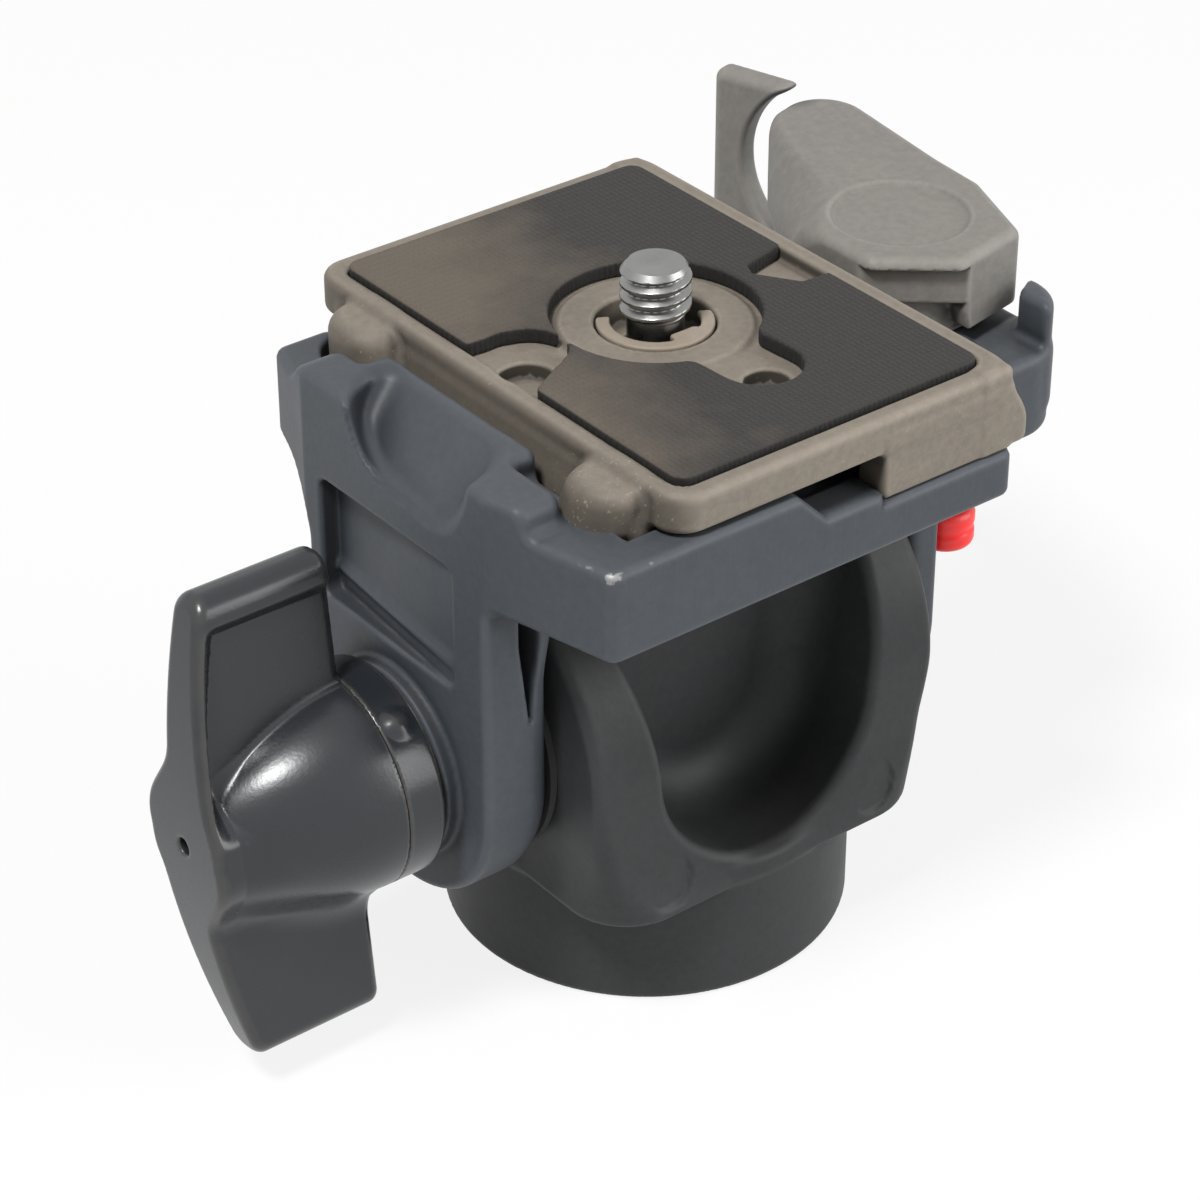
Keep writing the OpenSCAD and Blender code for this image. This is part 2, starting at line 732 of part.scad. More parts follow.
// Winged grip, bowed on its end face, with a small vent hole
module knob_wing() color("#2e3032") {
    bow_radius = (wing_reach * wing_reach + wing_bow * wing_bow) / (2 * wing_bow);
    difference() {
        translate([0, 0, axis_height]) rotate([-wing_lean, 0, 0]) union() {
            intersection() {
                along_x(-wing_end - wing_bow - 1, -wing_face) wing_outline();
                translate([-wing_end - wing_bow + bow_radius, 0, 0]) rotate([90, 0, 0])
                    translate([0, 0, -wing_middle]) cylinder(r = bow_radius, h = 2 * wing_middle, $fn = 160);
            }
            translate([-wing_face, 0, 0]) rotate([0, -90, 0]) rotate_extrude() hub_profile();
        }
        axle(insert_radius + running_clearance, -wing_face - insert_reach, -wing_face + 1);
        axle(vent_diameter / 2, -wing_end - wing_bow - 1, -wing_end - wing_bow + vent_depth);
    }
}

// Threaded brass insert moulded into the knob
module knob_insert() color("#b5964d")
    axle_tube(insert_radius, bolt_radius + running_clearance, -wing_face - insert_reach, -collar_face);

// Cut-outs of the pad: window with a lobe, keyhole open to the jaw's side, arrow open to the lever's side
module pad_windows() {
    circle(window_radius);
    translate([-key_x, key_y]) circle(key_radius);
    polygon([[-key_x, key_y + key_radius], [-plate_half, key_y + key_radius],
             [-plate_half, key_y - 2 * key_radius], [-key_x, key_y - key_radius]]);
    polygon([[arrow_x, 0], [arrow_x, arrow_back / 2], [plate_half, arrow_back],
             [plate_half, -arrow_front], [arrow_x + arrow_step, -arrow_front]]);
    rotate([0, 0, lobe_angle]) translate([window_radius + lobe_step, 0]) circle(lobe_radius);
}

// Quick-release plate: slab with a sunk top, dovetail rails and flared legs beside the jaw
module qr_plate() color("#77716a") translate(plate_middle) difference() {
    union() {
        along_z(slab_bottom, plate_top) round_rectangle(plate_width, plate_length, plate_corner);
        along_y(-rail_half_length, rail_half_length) for (side = [-1, 1])
            polygon([[side * plate_half, slab_bottom + 1], [side * flare_half, rail_bottom + 1],
                     [side * flare_half, rail_bottom], [side * (flare_half - rail_width), rail_bottom],
                     [side * (flare_half - rail_width), slab_bottom + 1]]);
        along_y(-plate_half_length, -rail_half_length + eps)
            translate([notch_edge + seat_clearance - plate_offset, rail_bottom])
                square([plate_half - notch_edge, rail_depth + 1]);
    }
    along_z(pad_floor, plate_top + 1)
        round_rectangle(pad_width + 2 * pad_gap, pad_length + 2 * pad_gap, pad_corner + pad_gap);
    post(0, 0, screw_hole, slab_bottom - 1, plate_top + 1);
}

// Rubber pad in the plate's top
module plate_pad() color("#3b3834") translate(plate_middle) along_z(pad_floor, pad_top) difference() {
    round_rectangle(pad_width, pad_length, pad_corner);
    pad_windows();
}

// Camera screw: thread above the plate, undercut neck through the slab, slotted head below
module camera_screw() color("#8c8a86") translate(plate_middle) {
    head_top = slab_bottom - sliding_gap;
    head_bottom = head_top - screw_head_height;
    difference() {
        union() {
            post(0, 0, screw_radius, thread_foot, screw_top - thread_chamfer);
            translate([0, 0, screw_top - thread_chamfer])
                cylinder(r1 = screw_radius, r2 = screw_radius - thread_chamfer, h = thread_chamfer);
            post(0, 0, neck_diameter / 2, head_top - eps, thread_foot + eps);
            post(0, 0, screw_head_diameter / 2, head_bottom, head_top);
        }
        translate([-screw_head_diameter, -slot_width / 2, head_bottom - 1])
            cube([2 * screw_head_diameter, slot_width, 1 + slot_depth]);
    }
}

// Folding ring under the screw's head
module screw_ring() color("#8c8a86") {
    ring_z = slab_bottom - sliding_gap - screw_head_height - ring_wire / 2;
    translate([plate_offset, 0, ring_z]) rotate_extrude() translate([screw_head_diameter / 2 - ring_wire, 0])
        circle(d = ring_wire, $fn = 24);
}

// Spring clip round the screw's neck, on the floor of the sunk top
module screw_clip() color("#a89f90") translate(plate_middle) along_z(pad_floor, pad_floor + clip_thickness)
    difference() {
        circle(clip_radius);
        circle(neck_diameter / 2 + running_clearance);
        translate([0, -clip_mouth / 2]) square([2 * clip_radius, clip_mouth]);
    }

// Plan of the lever's hub and handle: slanted nose, outer side that flares, round back end
module lever_plan(side) {
    polygon(rounded([[hub_inner, pivot_y - side], [nose_left, hub_front],
                     [hub_outer - nose_cut[0], hub_front + nose_cut[1]],
                     [hub_outer - side_step[0], hub_front + side_step[1]],
                     [hub_outer + arm_flare, hub_back + arm_flare],
                     [hub_outer - arm_end[0], hub_back - arm_end[1]],
                     [hub_outer - arm_shoulder[0], hub_back - arm_shoulder[1]],
                     [hub_inner, pivot_y + hub_rear]],
                    lever_corners));
}

// Finger blade that stands behind the hub's round end, hollowed round it so that a narrow gap is left
module finger_blade() translate(blade_tip) rotate([0, 0, -blade_turn]) difference() {
    along_z(neck_bottom, hub_top + blade_rise)
        polygon(rounded([[0, 0], [blade_length, 0], [blade_length, blade_thickness], [0, blade_thickness]],
                        [1, 0.6, 0.6, 1]));
    translate([blade_length + hollow_ahead, -1, hollow_height])
        rotate([-90, 0, 0]) cylinder(r = blade_hollow, h = blade_thickness + 2);
}

// Neck from the handle down to the foot of the blade, clear of the bracket's round corner
module blade_neck() translate([neck_side - neck_width, neck_front, 0]) {
    along_z(neck_bottom, hub_bottom + 1) square([neck_width, neck_depth]);
    along_z(neck_bottom, neck_bottom + neck_web) square([neck_width, neck_reach]);
}

// Locking lever: hub with a cam below, handle, and a finger blade on a low neck. The nose's lower edge is
// cut back, so that it swings past the plate's flare
module lever_arm() color("#97948d") difference() {
    union() {
        along_z(hub_bottom, relief_top + eps) lever_plan(relief_side);
        along_z(relief_top, hub_top) lever_plan(nose_side);
        finger_blade();
        blade_neck();
        along_z(cam_bottom, hub_bottom + eps) translate([pivot_reach, pivot_y]) difference() {
            circle(cam_radius);
            rotate([0, 0, cam_flat_angle])
                translate([cam_radius - cam_flat, -cam_radius]) square(2 * cam_radius);
        }
    }
    post(pivot_reach, pivot_y, lever_bore, cam_bottom - 1, hub_top - lever_cap);
}

module lever_bush() color("#b5964d") difference() {
    post(pivot_reach, pivot_y, lever_bush_radius, cam_bottom, hub_top - lever_cap);
    post(pivot_reach, pivot_y, lever_bush_bore, cam_bottom - 1, hub_top);
}

// Pivot pin of the lever, riveted under the bracket
module lever_pivot() color("#9a9a98") {
    post(pivot_reach, pivot_y, pivot_radius, bracket_bottom - eps, hub_top - lever_cap - pivot_end_gap);
    post(pivot_reach, pivot_y, pivot_head_radius, bracket_bottom - pivot_head_height, bracket_bottom);
}

// Torsion spring in the bracket, under the cam
module lever_spring() color("#7d7f82")
    upright_coil(pivot_reach, pivot_y, spring_radius, spring_wire, spring_turns,
                 bracket_top - spring_pocket_depth + end_gap, bracket_top - end_gap);

// Catch pin with a small head that its spring pushes up
module catch_pin() color("#9a9a98") {
    post(catch_x, catch_y, catch_pin_radius, catch_bottom + button_cap, catch_top);
    post(catch_x, catch_y, catch_head_radius, catch_head_bottom, catch_top);
}

// Red button on the lower end of the catch pin
module catch_button() color("#d8262b") translate([catch_x, catch_y, 0]) difference() {
    side = catch_button_diameter / 2;
    top = catch_button_height;
    translate([0, 0, catch_bottom]) rotate_extrude()
        polygon(rounded([[0, 0], [side, 0], [side, top], [0, top]], [0, 1, 0.6, 0]));
    post(0, 0, catch_pin_radius + running_clearance, catch_bottom + button_cap, catch_bottom + top + 1);
}

module catch_spring() color("#7d7f82")
    upright_coil(catch_x, catch_y, catch_pin_radius + catch_wire, catch_wire, catch_turns,
                 catch_pocket_floor + end_gap, catch_head_bottom - end_gap);

// Brass trigger that the plate holds down
module plate_trigger() color("#b5964d") {
    post(trigger_x, trigger_y, trigger_radius, seat_floor - trigger_head, seat_floor - end_gap);
    post(trigger_x, trigger_y, trigger_stem, underside + sliding_gap, seat_floor - trigger_head + eps);
}

module trigger_spring() color("#7d7f82")
    upright_coil(trigger_x, trigger_y, trigger_stem + trigger_wire, trigger_wire, trigger_turns,
                 trigger_floor + end_gap, seat_floor - trigger_head - end_gap);

base_yoke();
base_bush();
axle_sleeve();
knob_side_washer();
lever_side_washer();
head_body();
tilt_bolt();
knob_seat_washer();
knob_collar();
knob_wing();
knob_insert();
qr_plate();
plate_pad();
camera_screw();
screw_ring();
screw_clip();
lever_arm();
lever_bush();
lever_pivot();
lever_spring();
catch_pin();
catch_button();
catch_spring();
plate_trigger();
trigger_spring();
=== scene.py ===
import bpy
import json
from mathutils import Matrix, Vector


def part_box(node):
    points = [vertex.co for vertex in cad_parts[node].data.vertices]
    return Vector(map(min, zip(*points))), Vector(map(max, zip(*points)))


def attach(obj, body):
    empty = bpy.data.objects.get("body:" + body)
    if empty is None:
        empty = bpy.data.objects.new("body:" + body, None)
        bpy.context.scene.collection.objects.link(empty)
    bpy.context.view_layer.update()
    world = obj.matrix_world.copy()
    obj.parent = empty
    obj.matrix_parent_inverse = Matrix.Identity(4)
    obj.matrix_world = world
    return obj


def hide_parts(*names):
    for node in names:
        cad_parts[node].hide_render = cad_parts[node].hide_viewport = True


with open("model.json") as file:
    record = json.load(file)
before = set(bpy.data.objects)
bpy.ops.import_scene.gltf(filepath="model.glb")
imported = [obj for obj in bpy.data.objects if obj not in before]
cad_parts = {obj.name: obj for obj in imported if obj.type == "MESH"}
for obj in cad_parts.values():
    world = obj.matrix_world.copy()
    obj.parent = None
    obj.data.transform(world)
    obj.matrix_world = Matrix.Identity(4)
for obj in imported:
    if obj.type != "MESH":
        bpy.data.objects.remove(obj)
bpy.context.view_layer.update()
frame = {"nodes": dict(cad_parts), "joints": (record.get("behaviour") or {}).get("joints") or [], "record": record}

import json
import math

import bpy
import numpy as np
from mathutils import Matrix, Vector

bl_info = {
    "name": "Tilt head looks",
    "version": (1, 0, 0),
    "blender": (4, 5, 0),
    "location": "View3D > Sidebar > Tilt head",
    "description": "Builds the finished surfaces of a monopod tilt head round its packed solids",
    "category": "Object",
}

MM = 0.001


def linear(hex_colour):
    """Linear red, green and blue of an sRGB hex colour."""
    parts = [int(hex_colour[i:i + 2], 16) / 255 for i in (1, 3, 5)]
    return [p / 12.92 if p <= 0.04045 else ((p + 0.055) / 1.055) ** 2.4 for p in parts]


def span(node):
    """Lowest and highest corner of a solid, in millimetres."""
    low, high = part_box(node)
    return np.array(low) / MM, np.array(high) / MM


# Sizes in millimetres. What fits a solid is read from that solid.
AXIS = frame["joints"][0]["pos_m"][2] / MM
PIVOT_X, PIVOT_Y = (v / MM for v in frame["joints"][2]["pos_m"][:2])
# Heights under and over what is cut from the upper pieces, and a distance beyond all pieces
BELOW, ABOVE, FAR = 40, 70, 100

# Base
BASE_LOW, BASE_HIGH = span("base_yoke")
ARM_RADIUS, ARM_FACE = BASE_HIGH[2] - AXIS, BASE_HIGH[0]
FOOT_RADIUS, FOOT_HEIGHT = 19.2, 12.0
SKIRT_TOP, SKIRT_FLARE, FACE_TAPER = 20.0, 1.5, 1.4
MARK_X, MARK_Z, MARK_RADIUS, MARK_DEPTH = 12.0, 15.6, 2.4, 0.3
POCKET_HALF, POCKET_DRAFT, WEB_HALF = 12.0, 0.16, 7.0
SLEEVE_BORE, BUSH_BORE, FLANGE_BORE = 5.1, 7.05, 8.55
FLANGE_LOW, FLANGE_TOP = 11.0, 12.25

# Head
CHEEK_INNER = span("lever_side_washer")[1][0]
CHEEK_RADIUS = 13.2
KNOB_FACE = 28.0
LEVER_FACE = span("tilt_bolt")[1][0]
SEAT_FACE = span("knob_seat_washer")[1][0]
DECK_LOW, DECK_TOP = 48.0, 56.7
PLATFORM = ((-24.8, -26.5), (19, -26.5), (25.4, -15.5), (25.4, 13), (19, 22), (-24.8, 22),
            (-28, 13.2), (-28, -13.2))
JAW_TOP, JAW_INNER, CREST_INNER = 59.1, -22.6, -19.7
JAW_ENDS, CREST_ENDS = (-16.9, 14.6), (-10.2, 11.4)
SCOOP_SLOPE, SCOOP_LOW = math.radians(43), 52.0
SCOOP_FRONT, SCOOP_BACK = -10.8, 5.6
SEAT_LEFT, SEAT_HALF, NOTCH_RIGHT = -20.3, 22.5, 4.5
LEG_HOLLOW, LEG_HOLLOW_LOW = (-18.2, 16.3), 54.6
BRACKET_LOW, BRACKET_TOP = 43.8, 52.3
BRACKET_FACE, BRACKET_ENDS = 37.2, (-15.5, 13.0)
GUARD_SIDES, GUARD_BACK, SWEEP_RADIUS = (34.2, 40.0), -9.0, 12.2
BOSS_RADIUS, BOLT_BORE = 9.2, 4.05
PANEL_Y, PANEL_Z, PANEL_HALF_Y, PANEL_HALF_Z = 1.3, 43.6, 9.7, 6.0
LEDGE_Z, LEDGE_HEIGHT = 40.0, 0.45
GROOVE_X, GROOVE_LOW, GROOVE_TOP = -23.3, 34.8, 47.6
BOLT_FLATS = (span("tilt_bolt")[1][1] - span("tilt_bolt")[0][1]) / 2 + 0.05
BOLT_SEAT = LEVER_FACE - 3.4

# Plate, pad and camera screw
SEAT_FLOOR, PLATE_TOP = span("qr_plate")[0][2], span("qr_plate")[1][2]
PAD_FLOOR, PAD_TOP = span("plate_pad")[0][2], span("plate_pad")[1][2]
PLATE_X, PLATE_HALF = 0.7, 18.7
PLATE_HALF_LENGTH = span("qr_plate")[1][1]
PLATE_UNDER, RAIL_TOP, RAIL_INNER, RAIL_HALF = 57.0, 59.0, 15.0, 22.2
FLARE, SKIRT_LEFT, SKIRT_BACK = 2.0, 4.0, -22.4
LEG_X, LEG_PLACES, LEG_RADIUS = -18.2, (-17.9, 16.0), 4.2
LEG_LOW, LEG_TOP = 55.0, 60.2
POCKET_GAP, PAD_HALF, PAD_HALF_LENGTH = 0.1, 16.6, 23.9
WINDOW_RADIUS, DISC_RADIUS, DISC_HEIGHT = 9.4, 8.4, 0.45
CLIP_SEAT_RADIUS, CLIP_SEAT_FLOOR, SCREW_BORE = 5.4, 57.6, 3.4
SEAT_HOLES, HOLE_FLOOR = (((-13.8, -0.5), 2.5), ((2.0, -13.6), 2.0)), 58.4
CLIP_INNER, CLIP_OUTER, CLIP_THICK = 4.0, 5.25, 0.6
THREAD_RADIUS, SCREW_NECK, SCREW_CHAMFER = 3.175, 2.55, 0.75
SCREW_SIDES, TIP_RINGS, TIP_DISH = 96, (1.9, 0.9), 0.12

# Lever
HUB_LOW, HUB_TOP = 55.6, 61.4
HUB_INNER = 21.2
LEVER_PLAN = ((HUB_INNER, -4.8), (27.8, -10.2), (36.4, -8.6), (40.0, 0.8), (41.7, 25.0), (32.8, 22.6),
              (28.0, 17.0), (HUB_INNER, 6.0))
DISH_RADIUS, DISH_DEPTH, APRON_DROP = 6.0, 0.4, 1.8
FRONT_TOP, FRONT_DEPTH, FRONT_NORMAL = 60.3, 0.9, (0.633, 0.774)
RELIEF_TOP, RELIEF_DEPTH, RELIEF_NORMAL = 56.6, 2.5, (0.784, 0.621)
RELIEF_CORNER, RELIEF_END = (28.9, -10.1), 28.8
BLADE_TIP, BLADE_LENGTH, BLADE_THICK = (33.4, 31.9), 10.4, 2.8
BLADE_AXIS = (math.cos(math.radians(73.2)), -math.sin(math.radians(73.2)))
FINGER_AT, FINGER_RADIUS = 12.5, 9.0
NECK_LOW = span("lever_arm")[0][2]
NECK_SIDES, NECK_FRONT, NECK_BACK, NECK_FOOT_BACK = (35.6, 40.3), 14.0, 21.5, 26.0
CAM_RADIUS = 8.1
LEVER_BORE = (span("lever_bush")[1][0] - span("lever_bush")[0][0]) / 2 + 0.05

# Knob and catch
COLLAR_LOW, COLLAR_HIGH = span("knob_collar")
WING_FACE, WING_END, WING_BOW = -COLLAR_LOW[0], 47.0, 3.6
HUB_RADIUS, HUB_TAPER, HUB_LENGTH = 10.2, 5.2, 14.0
WING_REACH, TIP_HALF, SWELL = 22.8, 2.05, 3.2
WING_LEAN = math.radians(7)
VENT_RADIUS, VENT_DEPTH = 0.8, 3.0
INSERT_RADIUS, INSERT_DEPTH = span("knob_insert")[1][1] + 0.05, 8.0
BUMP_TURN, BUMP_AT, BUMP_RADIUS = math.radians(36), 9.6, 1.0
BUTTON_RADIUS, PIN_RADIUS = 2.8, 1.05


# Distance fields: negative inside, in millimetres

def slab(value, low, high):
    """Between two flat faces."""
    return np.maximum(low - value, value - high)


def meet(a, b, r=0.0):
    """What two shapes share, with the edge between them rounded."""
    return np.minimum(np.maximum(a, b), -r) + np.hypot(np.maximum(a + r, 0), np.maximum(b + r, 0))


def join(a, b, r=0.0):
    """Two shapes as one, with a fillet between them."""
    return np.maximum(np.minimum(a, b), r) - np.hypot(np.maximum(r - a, 0), np.maximum(r - b, 0))


def cut(a, b, r=0.0):
    """One shape less another, with the rim rounded."""
    return meet(a, -b, r)


def ease(t):
    """Smooth step from 0 to 1."""
    t = np.clip(t, 0, 1)
    return t * t * (3 - 2 * t)


def plan(u, v, corners, r=0.0):
    """Convex outline, given anticlockwise, with rounded corners."""
    points = np.asarray(corners, float)
    edge = np.roll(points, -1, 0) - points
    normal = np.stack([edge[:, 1], -edge[:, 0]], 1) / np.hypot(edge[:, 0], edge[:, 1])[:, None]
    reach = (normal * points).sum(1) - r
    inner = np.array([np.linalg.solve(normal[[i - 1, i]], reach[[i - 1, i]]) for i in range(len(points))])
    flat, near = -np.inf, np.inf
    for i, (a, b) in enumerate(zip(inner, np.roll(inner, -1, 0))):
        flat = np.maximum(flat, u * normal[i, 0] + v * normal[i, 1] - reach[i])
        near = np.minimum(near, pill(u, v, a, b))
    return np.where(flat > 0, near, flat) - r


def pill(u, v, a, b):
    """Distance from the line between two points."""
    du, dv = b[0] - a[0], b[1] - a[1]
    t = np.clip(((u - a[0]) * du + (v - a[1]) * dv) / max(du * du + dv * dv, 1e-9), 0, 1)
    return np.hypot(u - a[0] - t * du, v - a[1] - t * dv)


def rectangle(u, v, half_u, half_v, r):
    """Rectangle about the origin, with rounded corners."""
    du, dv = np.abs(u) - half_u + r, np.abs(v) - half_v + r
    return np.minimum(np.maximum(du, dv), 0) + np.hypot(np.maximum(du, 0), np.maximum(dv, 0)) - r


def post(x, y, z, middle, radius, low, high, r=0.0):
    """Upright cylinder."""
    return meet(np.hypot(x - middle[0], y - middle[1]) - radius, slab(z, low, high), r)


def inward(x, y, corner, normal):
    """Depth behind an upright plane through a corner."""
    return normal[0] * (x - corner[0]) + normal[1] * (y - corner[1])


def base_field(x, y, z):
    """Cast base: turned foot, skirted block and two arms round a pocket in front and behind."""
    low = np.clip((SKIRT_TOP - z) / 8, 0, 1) ** 2
    waist = np.clip((SKIRT_TOP - 0.5 - z) / 7.5, 0, 1) ** 2
    side = np.where(z > AXIS, np.hypot(y, z - AXIS) - ARM_RADIUS, np.abs(y) - ARM_RADIUS - SKIRT_FLARE * low)
    # Two round pin marks in front, sunk on their lower right side only
    aside, above = x - MARK_X * np.sign(x), z - MARK_Z
    mark = np.hypot(aside, above) + FAR * (y > 0)
    side = side + MARK_DEPTH * ease((aside - above + 1.5) / 5.5) * (1 - ease((mark - MARK_RADIUS) / 0.5))
    face = np.abs(x) - ARM_FACE + FACE_TAPER * (1 - ease((z - FOOT_HEIGHT) / 16)) - 0.8 * waist
    corner = 0.9 + 0.8 * ease((AXIS - z) / 7) + 5.0 * waist
    block = meet(meet(side, face, corner), FOOT_HEIGHT - z, 0.7)
    foot = meet(np.hypot(x, y) - FOOT_RADIUS, slab(z, 0, FOOT_HEIGHT + 2), 0.7)
    body = join(block, foot, 0.5)
    well = np.hypot(x, np.minimum(z - AXIS, 0)) - POCKET_HALF - POCKET_DRAFT * np.maximum(z - AXIS, 0)
    body = cut(body, meet(well, WEB_HALF - np.abs(y), 5.0), 1.0)
    body = cut(body, np.hypot(y, z - AXIS) - SLEEVE_BORE, 0.3)
    body = cut(body, post(x, y, z, (0, 0), BUSH_BORE, -2, FOOT_HEIGHT), 0.4)
    return cut(body, post(x, y, z, (0, 0), FLANGE_BORE, FLANGE_LOW, FLANGE_TOP))


def jaw_field(x, y, z):
    """Fixed jaw beside the plate, open outward: a crest between the plate's legs and a hook in front."""
    drop = JAW_TOP - z
    outer = meet(x - JAW_INNER, slab(y, JAW_ENDS[0] - 0.3 * drop, JAW_ENDS[1] + 0.8 * drop), 1.2)
    crest = meet(x - CREST_INNER, slab(y, *CREST_ENDS), 1.2)
    return meet(join(outer, crest, 0.8), slab(z, DECK_LOW + 2, JAW_TOP), 1.0)


def seat_field(x, y, z):
    """Space that the plate drops into, with a notch in front and a hollow round its back leg."""
    well = np.maximum(SEAT_LEFT + ease((y - 20.2) / 0.6) - x, np.abs(y) - SEAT_HALF)
    deep = np.maximum(np.minimum(well, NOTCH_RIGHT - x), SEAT_FLOOR - z)
    notch = np.maximum(slab(x, DECK_TOP - 5 - z, NOTCH_RIGHT), np.maximum(y, SEAT_FLOOR + 1 - z))
    hollow = post(x, y, z, LEG_HOLLOW, 4.5, LEG_HOLLOW_LOW, ABOVE)
    return np.minimum(np.minimum(deep, notch), hollow)


def scoop_field(x, y, z):
    """Thumb scoop in the jaw: a sloping floor, an upright back wall, a low lip and a wide fillet in front."""
    depth, height = x + KNOB_FACE, z - SCOOP_LOW
    lift = height * math.cos(SCOOP_SLOPE) - depth * math.sin(SCOOP_SLOPE)
    along = depth * math.cos(SCOOP_SLOPE) + height * math.sin(SCOOP_SLOPE)
    back = (y - SCOOP_BACK - 0.05 * height - 3.5 * np.tanh(0.3 * depth)) * 0.7
    lip = 1.1 + 0.16 * y - along
    return meet(meet(-lift, SCOOP_FRONT - y, 7.0), meet(back, lip, 3.2), 1.6)


def head_field(x, y, z):
    """Tilting head: platform, cheeks, jaw and lever bracket in one casting."""
    outline = plan(x, y, PLATFORM, 1.2)
    arch = np.hypot(y, np.minimum(z - AXIS, 0)) - CHEEK_RADIUS
    deck = cut(slab(z, DECK_LOW, DECK_TOP), seat_field(x, y, z), 0.4)
    cheek = meet(meet(arch, x + CHEEK_INNER, 3.2 - 2.2 * ease((z - 37) / 9)), z - DECK_LOW - 6, 0.5)
    body = join(deck, cheek, 1.2 + 4.6 * ease((y - 2) / 8))
    body = join(body, jaw_field(x, y, z), 0.9)
    body = meet(body, outline, 0.8)
    body = cut(body, scoop_field(x, y, z), 0.9)
    far_cheek = meet(meet(arch, x - LEVER_FACE, 0.8), CHEEK_INNER - x, 1.2)
    body = join(body, meet(far_cheek, z - DECK_LOW - 3, 0.5), 1.4)
    wing = meet(x - BRACKET_FACE, slab(y, *BRACKET_ENDS), 5.0)
    bracket = meet(meet(wing, slab(z, BRACKET_LOW, BRACKET_TOP), 1.0), CHEEK_INNER + 1 - x)
    guard = meet(meet(wing, slab(z, BRACKET_LOW + 2, DECK_TOP), 1.0),
                 meet(slab(x, *GUARD_SIDES), y - GUARD_BACK, 1.2), 0.8)
    sweep = post(x, y, z, (PIVOT_X, PIVOT_Y), SWEEP_RADIUS, BRACKET_TOP, ABOVE)
    body = join(body, join(bracket, cut(guard, sweep, 0.5), 0.8), 1.2)
    boss = meet(np.hypot(y, z - AXIS) - BOSS_RADIUS, slab(x, SEAT_FACE, -KNOB_FACE + 2), 0.3)
    body = join(body, boss, 0.5)
    ledge = LEDGE_HEIGHT * np.exp(-((z - LEDGE_Z) / 0.7) ** 2)
    deep = 0.4 + 1.6 * np.clip((y - PANEL_Y + PANEL_HALF_Y) / (2 * PANEL_HALF_Y), 0, 1) - ledge
    panel = rectangle(y - PANEL_Y, z - PANEL_Z, PANEL_HALF_Y, PANEL_HALF_Z, 1.0)
    body = cut(body, meet(panel, x + KNOB_FACE - deep, 0.3), 0.4)
    wedge = np.maximum(slab(z, GROOVE_LOW, GROOVE_TOP),
                       np.abs(x - GROOVE_X) - np.clip((z - GROOVE_LOW) / 8, 0, 1))
    body = cut(body, meet(wedge, slab(y, -16, -10.0), 0.1), 0.35)
    body = cut(body, np.hypot(y, z - AXIS) - BOLT_BORE, 0.2)
    flats = np.maximum(np.abs(y), np.abs(y) / 2 + np.abs(z - AXIS) * math.sqrt(3) / 2) - BOLT_FLATS
    body = cut(body, np.maximum(flats, BOLT_SEAT - x), 0.3)
    for middle, radius, low, high in HEAD_HOLES:
        body = cut(body, post(x, y, z, middle, radius, low, high), 0.2)
    return body


def plate_field(x, y, z):
    """Quick-release plate: rimmed slab, flared sides, front skirt and two rounded legs."""
    across = x - PLATE_X
    flare = FLARE * ease((PLATE_TOP - 1.0 - z) / 5.0)
    top = rectangle(across, y, PLATE_HALF, PLATE_HALF_LENGTH, 3.0)
    sheet = meet(top, slab(z, PLATE_UNDER, PLATE_TOP), 0.7)
    right = meet(meet(across - PLATE_HALF - flare, RAIL_INNER - across, 0.6),
                 meet(np.abs(y) - PLATE_HALF_LENGTH, slab(z, SEAT_FLOOR, PLATE_TOP), 0.7), 0.7)
    left = meet(slab(across, -PLATE_HALF - 0.5 * flare, -RAIL_INNER),
                meet(np.abs(y) - RAIL_HALF, slab(z, SEAT_FLOOR, RAIL_TOP), 0.8), 0.8)
    skirt = meet(slab(across, SKIRT_LEFT, PLATE_HALF),
                 meet(slab(y, -PLATE_HALF_LENGTH, SKIRT_BACK), slab(z, SEAT_FLOOR, RAIL_TOP), 0.5), 0.5)
    body = join(join(sheet, right, 0.6), join(left, skirt, 0.5), 0.5)
    for place_y in LEG_PLACES:
        lean = place_y + 0.25 * (z - 58.5) * np.sign(place_y)
        round_leg = np.hypot(x - LEG_X, y - lean) - LEG_RADIUS + 0.12 * (z - PLATE_UNDER)
        leg = meet(meet(round_leg, slab(z, LEG_LOW, LEG_TOP), 1.5), across + RAIL_INNER - 1, 0.3)
        body = join(body, leg, 0.8)
    pocket = rectangle(across, y, PAD_HALF + POCKET_GAP, PAD_HALF_LENGTH + POCKET_GAP, 1.5)
    body = cut(body, meet(pocket, PAD_FLOOR - z, 0.2), 0.5)
    # A low disc stands in the pad's window
    far = np.hypot(across, y)
    disc = z - PAD_FLOOR - DISC_HEIGHT * (1 - ease((far - DISC_RADIUS) / 0.8))
    body = np.minimum(body, np.maximum(disc, slab(z, 58.5, PAD_FLOOR + 0.5)) + FAR * (far > WINDOW_RADIUS))
    body = cut(body, post(across, y, z, (0, 0), CLIP_SEAT_RADIUS, CLIP_SEAT_FLOOR, ABOVE), 0.3)
    body = cut(body, far - SCREW_BORE, 0.1)
    for middle, radius in SEAT_HOLES:
        body = cut(body, post(x, y, z, middle, radius, HOLE_FLOOR, ABOVE), 0.25)
    return body


